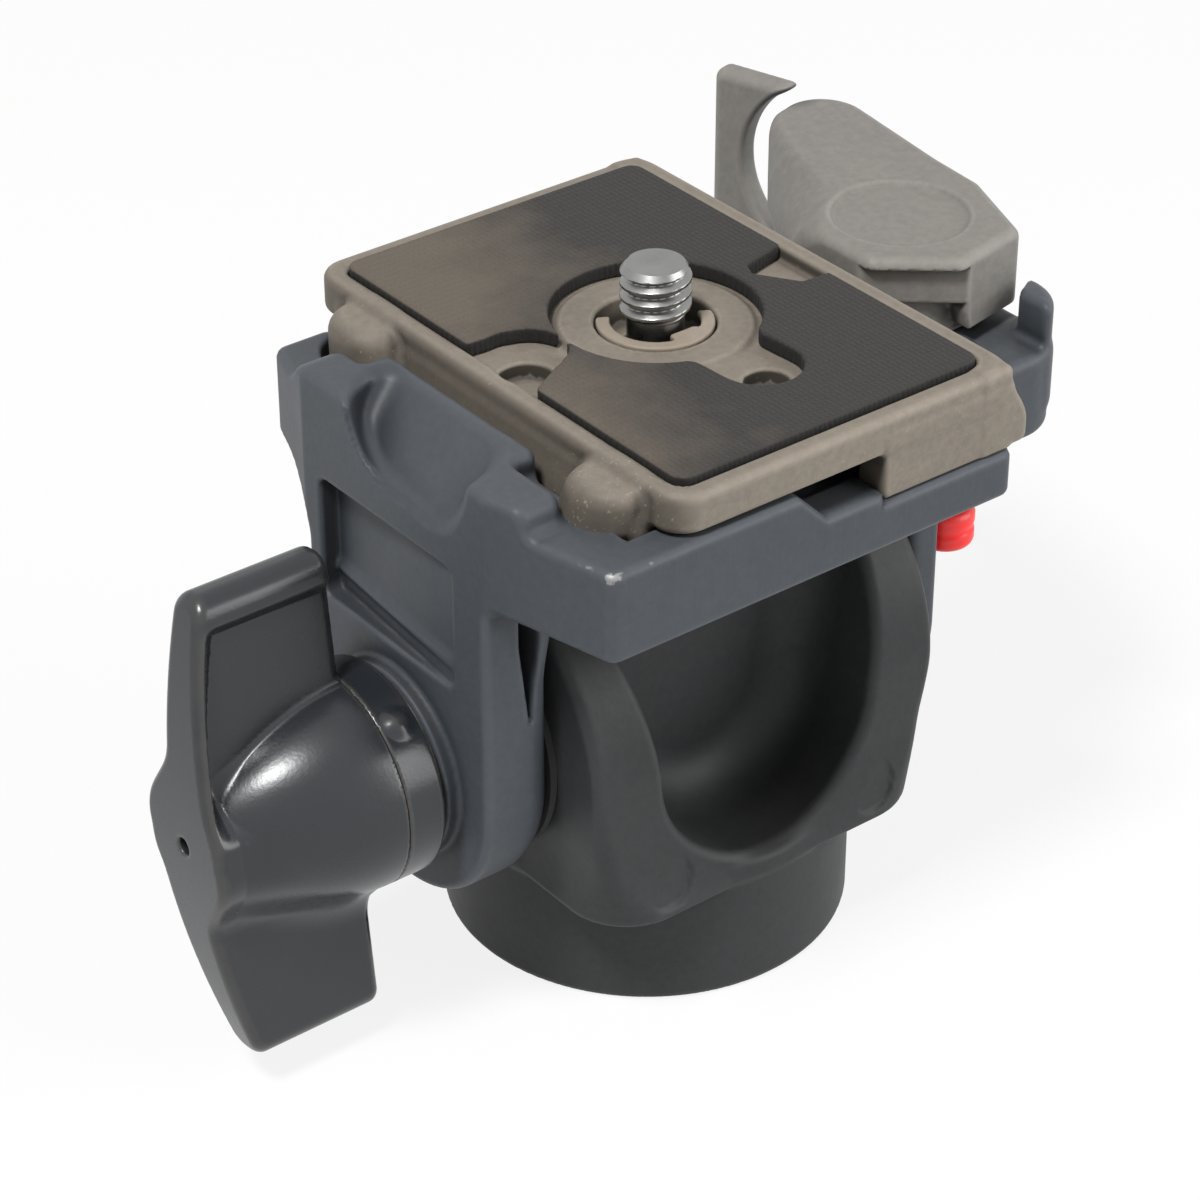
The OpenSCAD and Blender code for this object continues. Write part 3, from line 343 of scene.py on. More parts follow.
def pad_field(x, y, z):
    """Rubber pad with its round window, lobe, keyhole and arrow."""
    across = x - PLATE_X
    sheet = meet(rectangle(across, y, PAD_HALF, PAD_HALF_LENGTH, 1.4), slab(z, PAD_FLOOR, PAD_TOP), 0.3)
    window = np.hypot(across, y) - WINDOW_RADIUS
    lobe = pill(across, y, (0.7, -8.0), (1.1, -12.8)) - 3.8
    keyhole = np.hypot(across + 12.9, y - 1.4) - 3.5
    mouth = plan(across, y, ((-20, -6.6), (-12.2, -2.1), (-12.9, 4.9), (-20, 5.6)), 0.5)
    arrow = plan(across, y, ((11.1, 0), (13.6, -3.8), (20, -4.2), (20, 3.6), (11.7, 1.5)), 0.3)
    openings = join(join(window, lobe, 0.8), np.minimum(join(keyhole, mouth, 0.8), arrow), 0.3)
    return cut(sheet, openings, 0.3)


def lever_field(x, y, z):
    """Locking lever: hub and handle, cam below, and the finger blade on its low neck."""
    outline = np.where(y > 9, plan(x, y, LEVER_PLAN, 4.5), plan(x, y, LEVER_PLAN, 1.4))
    # A plain shallow dish lies over the pivot, and an apron hangs down on the outer side
    around = np.hypot(x - PIVOT_X, y - PIVOT_Y)
    dish = DISH_DEPTH * (1 - ease((around - DISH_RADIUS) / 0.7))
    top = HUB_TOP + 0.05 * np.maximum(y - 7, 0) - dish
    low = HUB_LOW - APRON_DROP * ease((x - 28.7) / 0.7) * ease((8 - y) / 2)
    shoulder = 1.0 + 4.2 * ease((y - 1) / 7) * ease((34 - x) / 7)
    hub = meet(meet(outline, z - top, shoulder), low - z, 0.4)
    # The front is set back under its top edge, and further below, where it swings past the plate's flare
    front = np.maximum(inward(x, y, LEVER_PLAN[1], FRONT_NORMAL) - FRONT_DEPTH, x - RELIEF_END)
    nose = np.maximum(inward(x, y, RELIEF_CORNER, RELIEF_NORMAL) - RELIEF_DEPTH, x - RELIEF_END)
    hub = cut(hub, np.maximum(front, z - FRONT_TOP), 0.25)
    hub = cut(hub, np.maximum(nose, z - RELIEF_TOP), 0.3)
    u = (x - BLADE_TIP[0]) * BLADE_AXIS[0] + (y - BLADE_TIP[1]) * BLADE_AXIS[1]
    v = (x - BLADE_TIP[0]) * -BLADE_AXIS[1] + (y - BLADE_TIP[1]) * BLADE_AXIS[0]
    blade = meet(slab(u, 0, BLADE_LENGTH), slab(v, 0, BLADE_THICK), 1.0)
    blade = meet(blade, slab(z, NECK_LOW, HUB_TOP + 2.0), 1.1)
    blade = cut(blade, np.hypot(u - FINGER_AT, z - (HUB_LOW - 0.7)) - FINGER_RADIUS, 0.7)
    sides = slab(x, *NECK_SIDES)
    neck = meet(meet(sides, slab(y, NECK_FRONT, NECK_BACK), 1.4), slab(z, NECK_LOW, HUB_LOW + 1), 0.8)
    foot = meet(meet(sides, slab(y, NECK_FRONT, NECK_FOOT_BACK), 1.4), slab(z, NECK_LOW, NECK_LOW + 2.7), 0.8)
    cam = meet(around - CAM_RADIUS, slab(z, SEAT_FLOOR, HUB_LOW + 1), 0.4)
    body = join(join(hub, cam, 0.5), join(join(neck, foot, 1.2), blade, 0.8), 0.9)
    return cut(body, post(x, y, z, (PIVOT_X, PIVOT_Y), LEVER_BORE, BELOW, HUB_TOP - 2), 0.15)


def wing_field(x, y, z):
    """Winged half of the knob: bowed end, one flat of each wing sunk behind a rim, and a swelling hub."""
    up = z - AXIS
    far = np.hypot(y, up)
    thick = y * math.cos(WING_LEAN) - up * math.sin(WING_LEAN)
    along = y * math.sin(WING_LEAN) + up * math.cos(WING_LEAN)
    share = np.minimum(np.abs(along) / WING_REACH, 1)
    # Negative on the sunk flats and positive on the smooth ones
    turn = along * thick / (np.abs(thick) + 0.5)
    smooth = TIP_HALF + SWELL * (1 - ease((share - 0.05) / 0.36))
    rim = TIP_HALF + SWELL * (1 - share)
    end = -WING_END - WING_BOW * (1 - share ** 2)
    sunk = ease((x - end - 0.7) / 1.4) * ease((0.9 - share) / 0.06)
    flat = rim + (TIP_HALF - 0.3 - rim) * sunk
    half = flat + (smooth - flat) * ease((turn + 2.6) / 3 + 0.5)
    bar = meet(np.abs(thick) - half, np.abs(along) - WING_REACH, 1.8)
    t = np.clip((-x - WING_FACE) / HUB_LENGTH, 0, 1)
    hub = (far - (HUB_RADIUS - HUB_TAPER * t * t)) * 0.85
    body = join(bar, hub, 0.5 + np.maximum(2.5 * ease(turn / 6 + 0.3), 0.7 * ease((t - 0.7) / 0.3)))
    lip = 0.15 + 0.85 * np.maximum(ease((-x - WING_FACE - 1) / 3), ease(far - HUB_RADIUS))
    body = meet(body, slab(x, end, -WING_FACE), lip)
    body = cut(body, np.maximum(far - INSERT_RADIUS, -WING_FACE - INSERT_DEPTH - x), 0.1)
    return cut(body, np.maximum(far - VENT_RADIUS, x + WING_END + WING_BOW - VENT_DEPTH), 0.25)


def collar_field(x, y, z):
    """Collar half of the knob, with its small round locating bump."""
    up = z - AXIS
    ring = meet(meet(np.hypot(y, up) - HUB_RADIUS, -WING_FACE - x, 0.15), x - COLLAR_HIGH[0], 0.4)
    bump = np.sqrt((x - (COLLAR_LOW[0] + COLLAR_HIGH[0]) / 2) ** 2 + (y + math.sin(BUMP_TURN) * BUMP_AT) ** 2
                   + (up - math.cos(BUMP_TURN) * BUMP_AT) ** 2) - BUMP_RADIUS
    return cut(join(ring, bump, 0.9), np.hypot(y, up) - INSERT_RADIUS, 0.1)


def clip_field(x, y, z):
    """Spring clip: a thin ring round the screw's neck, open behind, with a small tongue in front."""
    across = x - PLATE_X
    ring = meet(slab(np.hypot(across, y), CLIP_INNER, CLIP_OUTER), 0.5 * across + 0.87 * y - 1.2, 0.3)
    tongue = meet(np.abs(across - 0.6) - 1.5, slab(y, -4.6, -2.9), 0.4)
    return meet(join(ring, tongue, 0.4), slab(z, PAD_FLOOR, PAD_FLOOR + CLIP_THICK), 0.2)


def button_field(x, y, z):
    """Red button of the catch: a domed plug with a grip groove."""
    low, high = span("catch_button")
    middle = (low + high) / 2
    r = np.hypot(x - middle[0], y - middle[1])
    groove = np.hypot(r - BUTTON_RADIUS - 0.2, z - middle[2]) - 0.35
    body = cut(meet(r - BUTTON_RADIUS, slab(z, low[2], high[2]), 0.8), groove, 0.2)
    return cut(body, np.maximum(r - PIN_RADIUS, low[2] + 1.0 - z), 0.1)


def hole(node, room, low, high):
    """Upright hole round a solid: middle, radius, lowest and highest point."""
    corner, far = span(node)
    return (corner[:2] + far[:2]) / 2, (far[0] - corner[0]) / 2 + room, low, high


BRACKET_CUT, DECK_CUT = 53, 54
HEAD_HOLES = (
    hole("lever_pivot", -1.95, BELOW, BRACKET_CUT),
    hole("lever_spring", 0.3, span("lever_spring")[0][2] - 0.05, BRACKET_CUT),
    hole("catch_pin", -0.65, BELOW, BRACKET_CUT),
    hole("catch_pin", 0.3, span("catch_spring")[0][2] - 0.05, BRACKET_CUT),
    hole("plate_trigger", 0.05, span("trigger_spring")[0][2] - 0.05, DECK_CUT),
    hole("plate_trigger", -1.15, BELOW, DECK_CUT),
)

# Meshing: corners and edges of a grid cell, spacing of the samples that settle a point, smooth its normal
# and find its bend, and how far out the hollowness of a surface is felt, in millimetres
CORNERS = np.array([[i, j, k] for i in (0, 1) for j in (0, 1) for k in (0, 1)])
EDGES = [(a, b) for a in range(8) for b in range(a + 1, 8) if np.abs(CORNERS[a] - CORNERS[b]).sum() == 1]
SETTLE_STEP, NORMAL_STEP, BEND_STEP = 0.02, 0.06, 0.5
HOLLOW_REACH = (0.6, 1.5, 3.0, 5.0)


def slopes(field, points, h):
    """Value, slope and bend of a field at points."""
    value = field(*points.T)
    slope, bend = np.empty_like(points), -6 * value
    for i in range(3):
        step = np.zeros(3)
        step[i] = h
        ahead, behind = field(*(points + step).T), field(*(points - step).T)
        slope[:, i] = (ahead - behind) / (2 * h)
        bend = bend + ahead + behind
    return value, slope, bend / (h * h)


def skin(name, field, low, high, step):
    """Mesh of the surface of a field: smooth normals, how sharply each point bends and how hollow it lies."""
    axes = [np.arange(a - 1.6 * step, b + 2.6 * step, step) for a, b in zip(low, high)]
    shape = [len(a) for a in axes]
    value = np.array(np.broadcast_to(field(*np.ix_(*axes)), shape))
    inside = value < 0
    count = sum(inside[i:shape[0] - 1 + i, j:shape[1] - 1 + j, k:shape[2] - 1 + k].astype(np.int8)
                for i, j, k in CORNERS)
    cells = np.argwhere((count > 0) & (count < 8))
    if not len(cells):
        raise RuntimeError(f"{name}: the field has no surface in its box")
    number = np.full(count.shape, -1)
    number[tuple(cells.T)] = np.arange(len(cells))
    corner_value = [value[tuple((cells + c).T)] for c in CORNERS]
    total, hits = np.zeros((len(cells), 3)), np.zeros((len(cells), 1))
    for a, b in EDGES:
        va, vb = corner_value[a], corner_value[b]
        crossing = ((va < 0) != (vb < 0))[:, None]
        t = (va / np.where(crossing[:, 0], va - vb, 1))[:, None]
        total += crossing * (CORNERS[a] + t * (CORNERS[b] - CORNERS[a]))
        hits += crossing
    points = np.array([a[0] for a in axes]) + step * (cells + total / hits)
    quads = []
    for axis in range(3):
        one, two = np.eye(3, dtype=int)[(axis + 1) % 3], np.eye(3, dtype=int)[(axis + 2) % 3]
        near = np.take(inside, range(shape[axis] - 1), axis)
        far = np.take(inside, range(1, shape[axis]), axis)
        at = np.argwhere(near != far)
        quad = np.stack([number[tuple((at - o).T)] for o in (one + two, two, 0 * one, one)], 1)
        turned = ~near[tuple(at.T)]
        quad[turned] = quad[turned][:, ::-1]
        quads.append(quad)
    quads = np.concatenate(quads)
    for _ in range(3):
        value, slope, _bend = slopes(field, points, SETTLE_STEP)
        move = -value[:, None] * slope / np.maximum((slope ** 2).sum(1), 0.05)[:, None]
        long = np.linalg.norm(move, axis=1)
        points = points + move * np.minimum(1, 0.6 * step / np.maximum(long, 1e-9))[:, None]
    _value, slope, _bend = slopes(field, points, NORMAL_STEP)
    _value, _slope, bend = slopes(field, points, BEND_STEP)
    mesh = bpy.data.meshes.new(name)
    mesh.from_pydata((points * MM).tolist(), [], quads.tolist())
    mesh.update()
    mesh.shade_smooth()
    normal = slope / np.maximum(np.linalg.norm(slope, axis=1), 1e-6)[:, None]
    mesh.normals_split_custom_set_from_vertices(normal.tolist())
    sharp = mesh.attributes.new("edge", "FLOAT", "POINT")
    sharp.data.foreach_set("value", np.clip(bend, -2, 2).astype(np.float32))
    deep = mesh.attributes.new("deep", "FLOAT", "POINT")
    hidden = sum(np.maximum(0, 1 - field(*(points + d * normal).T) / d) for d in HOLLOW_REACH)
    deep.data.foreach_set("value", np.clip(hidden / len(HOLLOW_REACH), 0, 1).astype(np.float32))
    return place(name, mesh)


def place(name, mesh):
    """Object for a mesh, in the scene."""
    piece = bpy.data.objects.new(name, mesh)
    bpy.context.scene.collection.objects.link(piece)
    return piece


def settle(piece, material, body, slot, *nodes):
    """Gives a piece its finish and its body, and hides the solids that it stands for; the slot is not used."""
    piece.data.materials.clear()
    piece.data.materials.append(material)
    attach(piece, body)
    if nodes:
        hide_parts(*nodes)
    return piece


def screw_mesh(name, pitch, depth):
    """Threaded camera screw: plain neck, thread that fades in, chamfered end and shallow dish in the tip."""
    low, high = span("camera_screw")
    root = THREAD_RADIUS - depth
    start, stop = PAD_TOP - 0.4, high[2]
    turns = np.linspace(0, 2 * math.pi, SCREW_SIDES, endpoint=False)
    heights = np.concatenate([[low[2] + 1.6], np.arange(start - 0.4, stop, 0.06), [stop]])
    points = []
    for height in heights:
        phase = np.abs(((height / pitch - turns / (2 * math.pi)) % 1.0) - 0.5) * 2
        radius = root + depth * np.clip(1.5 * phase - 0.2, 0, 1)
        radius = np.minimum(radius, THREAD_RADIUS - 0.75 * max(0.0, height - stop + SCREW_CHAMFER))
        fade = float(ease((height - start) / 0.5))
        radius = SCREW_NECK * (1 - fade) + radius * fade
        points.append(np.stack([PLATE_X + radius * np.cos(turns), radius * np.sin(turns),
                                np.full(SCREW_SIDES, height)], 1))
    rings = len(points)
    points += [np.array([[PLATE_X + r * math.cos(a), r * math.sin(a), stop - TIP_DISH * (1 - r / 2.0)]
                         for a in turns]) for r in TIP_RINGS]
    points = np.concatenate(points + [[[PLATE_X, 0, stop - TIP_DISH], [PLATE_X, 0, heights[0]]]])
    sides = [(j, (j + 1) % SCREW_SIDES) for j in range(SCREW_SIDES)]
    faces = []
    for ring in range(rings + 1):
        a, b = ring * SCREW_SIDES, (ring + 1) * SCREW_SIDES
        faces += [[a + j, a + k, b + k, b + j] for j, k in sides]
    tip = (rings + 2) * SCREW_SIDES
    faces += [[tip - SCREW_SIDES + j, tip - SCREW_SIDES + k, tip] for j, k in sides]
    faces += [[k, j, tip + 1] for j, k in sides]
    mesh = bpy.data.meshes.new(name)
    mesh.from_pydata((points * MM).tolist(), [], faces)
    mesh.update()
    mesh.shade_smooth()
    mesh.set_sharp_from_angle(angle=math.radians(40))
    return mesh


# Materials

# Where the head's corner is rubbed through, and where sand sticks to the plate: middle and reach
WORN_SPOT = ((*PLATFORM[0], DECK_TOP), 12.0)
GRIT_SPOT = ((-19.0, -19.0, PLATE_UNDER), 9.0)


def node(tree, kind, inputs=None, **settings):
    """Adds a shader node, named without its ShaderNode prefix, sets it, and fills or links its inputs.

    A node given as an input is linked by its first output in use.
    """
    item = tree.nodes.new("ShaderNode" + kind)
    for key, value in settings.items():
        setattr(item, key, value)
    for key, value in (inputs or {}).items():
        if isinstance(value, bpy.types.Node):
            value = next(output for output in value.outputs if output.enabled)
        if isinstance(value, bpy.types.NodeSocket):
            tree.links.new(value, item.inputs[key])
        else:
            item.inputs[key].default_value = value
    return item


def rgba(colour, scale=1.0):
    """Colour with full opacity, made darker or lighter."""
    return (*(c * scale for c in colour[:3]), 1.0)


def blank(name):
    """New material with an empty node tree, its object coordinates and its normal."""
    material = bpy.data.materials.new(name)
    material.use_nodes = True
    tree = material.node_tree
    tree.nodes.clear()
    coordinates = node(tree, "TexCoord")
    return material, tree, coordinates.outputs["Object"], coordinates.outputs["Normal"]


def per_mm(size):
    """Texture scale at which one feature measures this many millimetres."""
    return 1.0 / (size * MM)


def tint(tree, under, over, value, low, high, amount=1.0):
    """Lays one colour over another, as far as a value has come from one limit to the other."""
    share = node(tree, "MapRange", {"Value": value, "From Min": low, "From Max": high, "To Max": amount})
    return node(tree, "Mix", {0: share, 6: under, 7: over}, data_type="RGBA")


def nearness(tree, where, spot, core, amount=1.0):
    """Grows from nothing at a spot's reach to an amount in its core."""
    middle, reach = spot
    far = node(tree, "VectorMath", {0: where, 1: [v * MM for v in middle]}, operation="DISTANCE")
    return node(tree, "MapRange", {"Value": far, "From Min": reach * MM, "From Max": core * reach * MM,
                                   "To Max": amount})


def seen_by(tree, *rays):
    """One for the named kinds of ray and zero for the others."""
    path = node(tree, "LightPath")
    seen = path.outputs[rays[0]]
    for ray in rays[1:]:
        seen = node(tree, "Math", {0: seen, 1: path.outputs[ray]}, operation="MAXIMUM")
    return seen


def coat(tree, colour, roughness, height, strength, depth, others):
    """Ends a material: a surface with its colour, roughness and fine relief of a depth in millimetres."""
    bump = node(tree, "Bump", {"Height": height, "Strength": strength, "Distance": depth * MM})
    shader = node(tree, "BsdfPrincipled", {"Base Color": colour, "Roughness": roughness, "Normal": bump,
                                           **others})
    node(tree, "OutputMaterial", {"Surface": shader})


def painted_casting(name, paint, colours, roughness, dusty, grime_and_shade, speckle=0.1, lines=None, worn=None,
                    grit=None, painted_side_shade=0.0):
    """Stove paint on a die casting: fine orange peel, a mottled tone, pale along the edges where the paint is thin
    and a sheen is painted, and painted shade in the hollows and, if asked, on faces turned to -X.
    """
    material, tree, where, normal = blank(name)
    mottle, speck, peel = (
        node(tree, "TexNoise", {"Vector": where, "Scale": per_mm(size), "Detail": detail, "Roughness": rough})
        for size, detail, rough in ((14, 5.0, 0.6), (0.9, 3.0, 0.7), (0.5, 2.0, 0.5)))
    edge, deep = (node(tree, "Attribute", attribute_name=name).outputs["Fac"] for name in ("edge", "deep"))
    tone = node(tree, "Mix", {0: mottle, 6: rgba(paint, 0.86), 7: rgba(paint, 1.14)}, data_type="RGBA")
    grain = node(tree, "MapRange", {"Value": speck, "From Min": 0.3, "From Max": 0.7, "To Min": 1 - speckle,
                                    "To Max": 1 + speckle})
    tone = node(tree, "Mix", {0: 1.0, 6: tone, 7: grain}, data_type="RGBA", blend_type="MULTIPLY")
    # Paint draws thin over edges and looks paler there: thin paint, and a painted sheen along the convex edges
    tone = tint(tree, tone, rgba(paint, 2.0), edge, 0.3, 1.4, 0.2)
    # Hollows are painted darker by how deep they lie: grime, and painted shade where little light reaches
    tone = tint(tree, tone, rgba(paint, 0.2), deep, 0.1, 0.42, grime_and_shade)
    facing = node(tree, "SeparateXYZ", {"Vector": normal})
    if painted_side_shade:
        # Faces that point towards -X are painted darker: painted shade on the side turned away from the lamps
        tone = tint(tree, tone, rgba(paint, 0.3), facing.outputs["X"], -0.1, -0.8, painted_side_shade)
    # Dust settles on what faces up, in patches
    lying = node(tree, "Math", {0: facing.outputs["Z"], 1: mottle}, operation="MULTIPLY")
    colour = tint(tree, tone, rgba(colours.dust), lying, 0.25, 0.7, dusty)
    if grit:
        # Fine sand sticks where one leg has stood in the dirt
        sand = node(tree, "TexNoise", {"Vector": where, "Scale": per_mm(0.35), "Detail": 1.0})
        grains = node(tree, "Math", {0: sand, 1: nearness(tree, where, grit, 0.2, 0.1)}, operation="ADD")
        colour = tint(tree, colour, rgba(colours.dust, 1.5), grains, 0.72, 0.8, 0.45)
    bare = 0.0
    if worn:
        # Bright metal where one corner is rubbed through, in chips under a millimetre long
        chip = node(tree, "Math", {0: speck, 1: edge}, operation="MULTIPLY")
        chip = node(tree, "Math", {0: chip, 1: nearness(tree, where, worn, 0.3)}, operation="MULTIPLY")
        bare = node(tree, "MapRange", {"Value": chip, "From Min": 0.78, "From Max": 0.98, "To Max": 0.5})
        colour = node(tree, "Mix", {0: bare, 6: colour, 7: rgba(colours.bare_metal)}, data_type="RGBA")
    gloss = node(tree, "MapRange", {"Value": mottle, "From Min": 0.3, "From Max": 0.7,
                                    "To Min": roughness - 0.06, "To Max": roughness + 0.08})
    height = lines(tree, where, peel) if lines else peel
    # Matting powder in the paint takes away much of its mirror reflection
    coat(tree, colour, gloss, height, 0.25, 0.06, {"Metallic": bare, "IOR": 1.5, "Specular IOR Level": 0.25})
    return material


def milled_front(tree, where, height):
    """Upright cutter lines, about half a millimetre apart and uneven, on the platform's front face only."""
    part = node(tree, "SeparateXYZ", {"Vector": where})
    face = PLATFORM[0][1]
    front = node(tree, "MapRange", {"Value": part.outputs["Y"], "From Min": (face + 0.3) * MM,
                                    "From Max": (face + 0.1) * MM})
    drawn = node(tree, "Mapping", {"Vector": where, "Scale": (1.0, 1.0, 0.04)})
    rows = node(tree, "TexNoise", {"Vector": drawn, "Scale": per_mm(0.5), "Detail": 3.0, "Roughness": 0.7})
    lines = node(tree, "Math", {0: rows, 1: front}, operation="MULTIPLY")
    return node(tree, "Math", {0: lines, 1: 2.5, 2: height}, operation="MULTIPLY_ADD")


def ribbed_rubber(name, rubber, dust):
    """Moulded rubber with a woven rib, dusty and greasy from use: matt, with pale stains in its hollows."""
    material, tree, where, normal = blank(name)
    # Ribs about 0.55 mm apart one way and 0.8 mm the other; a wave of scale 1 is about 1 / pi long
    ribs, cross = (
        node(tree, "TexWave", {"Vector": where, "Scale": per_mm(pitch) / math.pi, "Distortion": bend,
                               "Detail": 1.0, "Detail Scale": 2.0}, bands_direction=way).outputs["Fac"]
        for way, pitch, bend in (("X", 0.55, 1.2), ("Y", 0.8, 1.5)))
    weave = node(tree, "Math", {0: ribs, 1: cross}, operation="MULTIPLY")
    stain = node(tree, "TexNoise", {"Vector": where, "Scale": per_mm(22), "Detail": 6.0, "Roughness": 0.62})
    grain = node(tree, "TexNoise", {"Vector": where, "Scale": per_mm(0.7), "Detail": 3.0, "Roughness": 0.7})
    # Stains grow towards the knob and the back
    part = node(tree, "SeparateXYZ", {"Vector": where})
    side = node(tree, "Math", {0: part.outputs["X"], 1: -0.018 / MM, 2: stain}, operation="MULTIPLY_ADD")
    amount = node(tree, "Math", {0: part.outputs["Y"], 1: 0.006 / MM, 2: side}, operation="MULTIPLY_ADD")
    colour = node(tree, "Mix", {0: grain, 6: rgba(rubber, 0.75), 7: rgba(rubber, 1.25)}, data_type="RGBA")
    colour = tint(tree, colour, rgba(dust), amount, 0.45, 0.78, 0.75)
    # The cut sides take no stains, and are painted darker than the rubber: painted shade on the sides and on the
    # walls of the openings
    facing = node(tree, "SeparateXYZ", {"Vector": normal})
    colour = tint(tree, colour, rgba(rubber, 0.3), facing.outputs["Z"], 0.7, 0.2)
    height = node(tree, "Math", {0: weave, 1: grain}, operation="ADD")
    coat(tree, colour, 0.8, height, 0.5, 0.2, {"IOR": 1.5})
    return material


def moulded_plastic(name, plastic, dust, roughness):
    """Injection-moulded nylon: satin gloss from a fine spark-eroded mould, faintly paler where edges rub."""
    material, tree, where, _normal = blank(name)
    mottle = node(tree, "TexNoise", {"Vector": where, "Scale": per_mm(9), "Detail": 5.0, "Roughness": 0.6})
    grain = node(tree, "TexNoise", {"Vector": where, "Scale": per_mm(0.35), "Detail": 2.0, "Roughness": 0.5})
    edge = node(tree, "Attribute", attribute_name="edge").outputs["Fac"]
    tone = node(tree, "Mix", {0: mottle, 6: rgba(plastic, 0.9), 7: rgba(plastic, 1.1)}, data_type="RGBA")
    rubbed = node(tree, "Math", {0: edge, 1: mottle}, operation="MULTIPLY")
    colour = tint(tree, tone, rgba(dust), rubbed, 0.3, 0.9, 0.12)
    gloss = node(tree, "MapRange", {"Value": mottle, "From Min": 0.3, "From Max": 0.7,
                                    "To Min": roughness - 0.04, "To Max": roughness + 0.05})
    coat(tree, colour, gloss, grain, 0.2, 0.05, {"IOR": 1.52})
    return material


def turned_metal(name, metal, roughness):
    """Turned and plated metal: fine tool marks, and a film of grease that dulls it in patches."""
    material, tree, where, _normal = blank(name)
    marks = node(tree, "TexNoise", {"Vector": where, "Scale": per_mm(0.35), "Detail": 3.0, "Roughness": 0.6})
    film = node(tree, "TexNoise", {"Vector": where, "Scale": per_mm(3), "Detail": 4.0, "Roughness": 0.6})
    colour = node(tree, "Mix", {0: film, 6: rgba(metal, 0.75), 7: rgba(metal, 1.15)}, data_type="RGBA")
    gloss = node(tree, "MapRange", {"Value": film, "From Min": 0.3, "From Max": 0.7,
                                    "To Min": roughness - 0.08, "To Max": roughness + 0.1})
    coat(tree, colour, gloss, marks, 0.15, 0.03, {"Metallic": 1.0})
    return material


# Settings and operators

class TiltHeadSizes(bpy.types.PropertyGroup):
    """Sizes of the finished surfaces."""
    mesh_step: bpy.props.FloatProperty(
        name="Mesh step", description="Spacing of the points on the castings", default=0.0004, min=0.0002,
        max=0.002, unit="LENGTH", precision=5)
    fine_step: bpy.props.FloatProperty(
        name="Fine mesh step", description="Spacing of the points on the small pieces", default=0.00028,
        min=0.0001, max=0.001, unit="LENGTH", precision=5)
    thread_pitch: bpy.props.FloatProperty(
        name="Thread pitch", description="Pitch of the camera screw, twenty threads to the inch",
        default=0.00127, unit="LENGTH", precision=5)
    thread_depth: bpy.props.FloatProperty(
        name="Thread depth", description="Depth of the camera screw's thread", default=0.0006, unit="LENGTH",
        precision=5)


def colour_property(name, hex_colour, description):
    """Colour setting with an sRGB hex default."""
    return bpy.props.FloatVectorProperty(name=name, description=description, subtype="COLOR", size=3, min=0,
                                         max=1, default=linear(hex_colour))


class TiltHeadColours(bpy.types.PropertyGroup):
    """Colours of the finishes."""
    base_paint: colour_property("Base paint", "#333435", "Satin black paint of the base casting")
    head_paint: colour_property("Head paint", "#474b50", "Dark slate paint of the head casting")
    plate_paint: colour_property("Plate paint", "#827a6f", "Worn taupe paint of the quick-release plate")
    lever_paint: colour_property("Lever paint", "#827f7a", "Warm grey paint of the lever")
    bare_metal: colour_property("Bare metal", "#b4b3af", "Aluminium where the paint is rubbed through")
    dust: colour_property("Dust", "#8d857a", "Dust that lies on upward faces")
    rubber: colour_property("Rubber", "#2a2725", "Rubber of the pad")
    rubber_dust: colour_property("Stains on the rubber", "#6a6156", "Dust and grease on the pad")
    knob_plastic: colour_property("Knob plastic", "#25282c", "Black moulded plastic of the knob")
    catch_plastic: colour_property("Catch plastic", "#ff1512", "Red moulded plastic of the catch")
    steel: colour_property("Steel", "#8e8e8c", "Plated steel of the screw, bolt and pins")
    brass: colour_property("Brass", "#b5964d", "Brass of the bushes and the insert")
    nylon: colour_property("Nylon", "#3a3a39", "Dark nylon of the friction washers")
    floor: colour_property("Floor", "#f4f4f3", "Pale studio floor")


class TiltHeadOperator:
    """Shared by the operators that build the tilt head."""
    bl_options = {"REGISTER", "UNDO"}

    @staticmethod
    def settings(context):
        """Sizes and colours that the scene holds."""
        return context.scene.tilt_head_sizes, context.scene.tilt_head_colours


class TILTHEAD_OT_base(TiltHeadOperator, bpy.types.Operator):
    """Builds the cast base with its foot, arms and pockets"""
    bl_idname = "tilthead.base"
    bl_label = "Base"

    def execute(self, context):
        sizes, colours = self.settings(context)
        piece = skin("base_casting", base_field, BASE_LOW, BASE_HIGH, sizes.mesh_step / MM)
        paint = painted_casting("Satin black paint on die-cast aluminium", colours.base_paint, colours,
                                roughness=0.5, dusty=0.05, grime_and_shade=0.75)
        settle(piece, paint, "base", "cast_base", "base_yoke")
        return {"FINISHED"}


class TILTHEAD_OT_head(TiltHeadOperator, bpy.types.Operator):
    """Builds the tilting head casting with its jaw, cheeks and lever bracket"""
    bl_idname = "tilthead.head"
    bl_label = "Head"

    def execute(self, context):
        sizes, colours = self.settings(context)
        piece = skin("head_casting", head_field, *span("head_body"), sizes.mesh_step / MM)
        paint = painted_casting("Slate paint on die-cast aluminium, front milled", colours.head_paint,
                                colours, roughness=0.48, dusty=0.06, grime_and_shade=0.5, speckle=0.08,
                                lines=milled_front, worn=WORN_SPOT)
        settle(piece, paint, "head", "cast_head", "head_body")
        return {"FINISHED"}


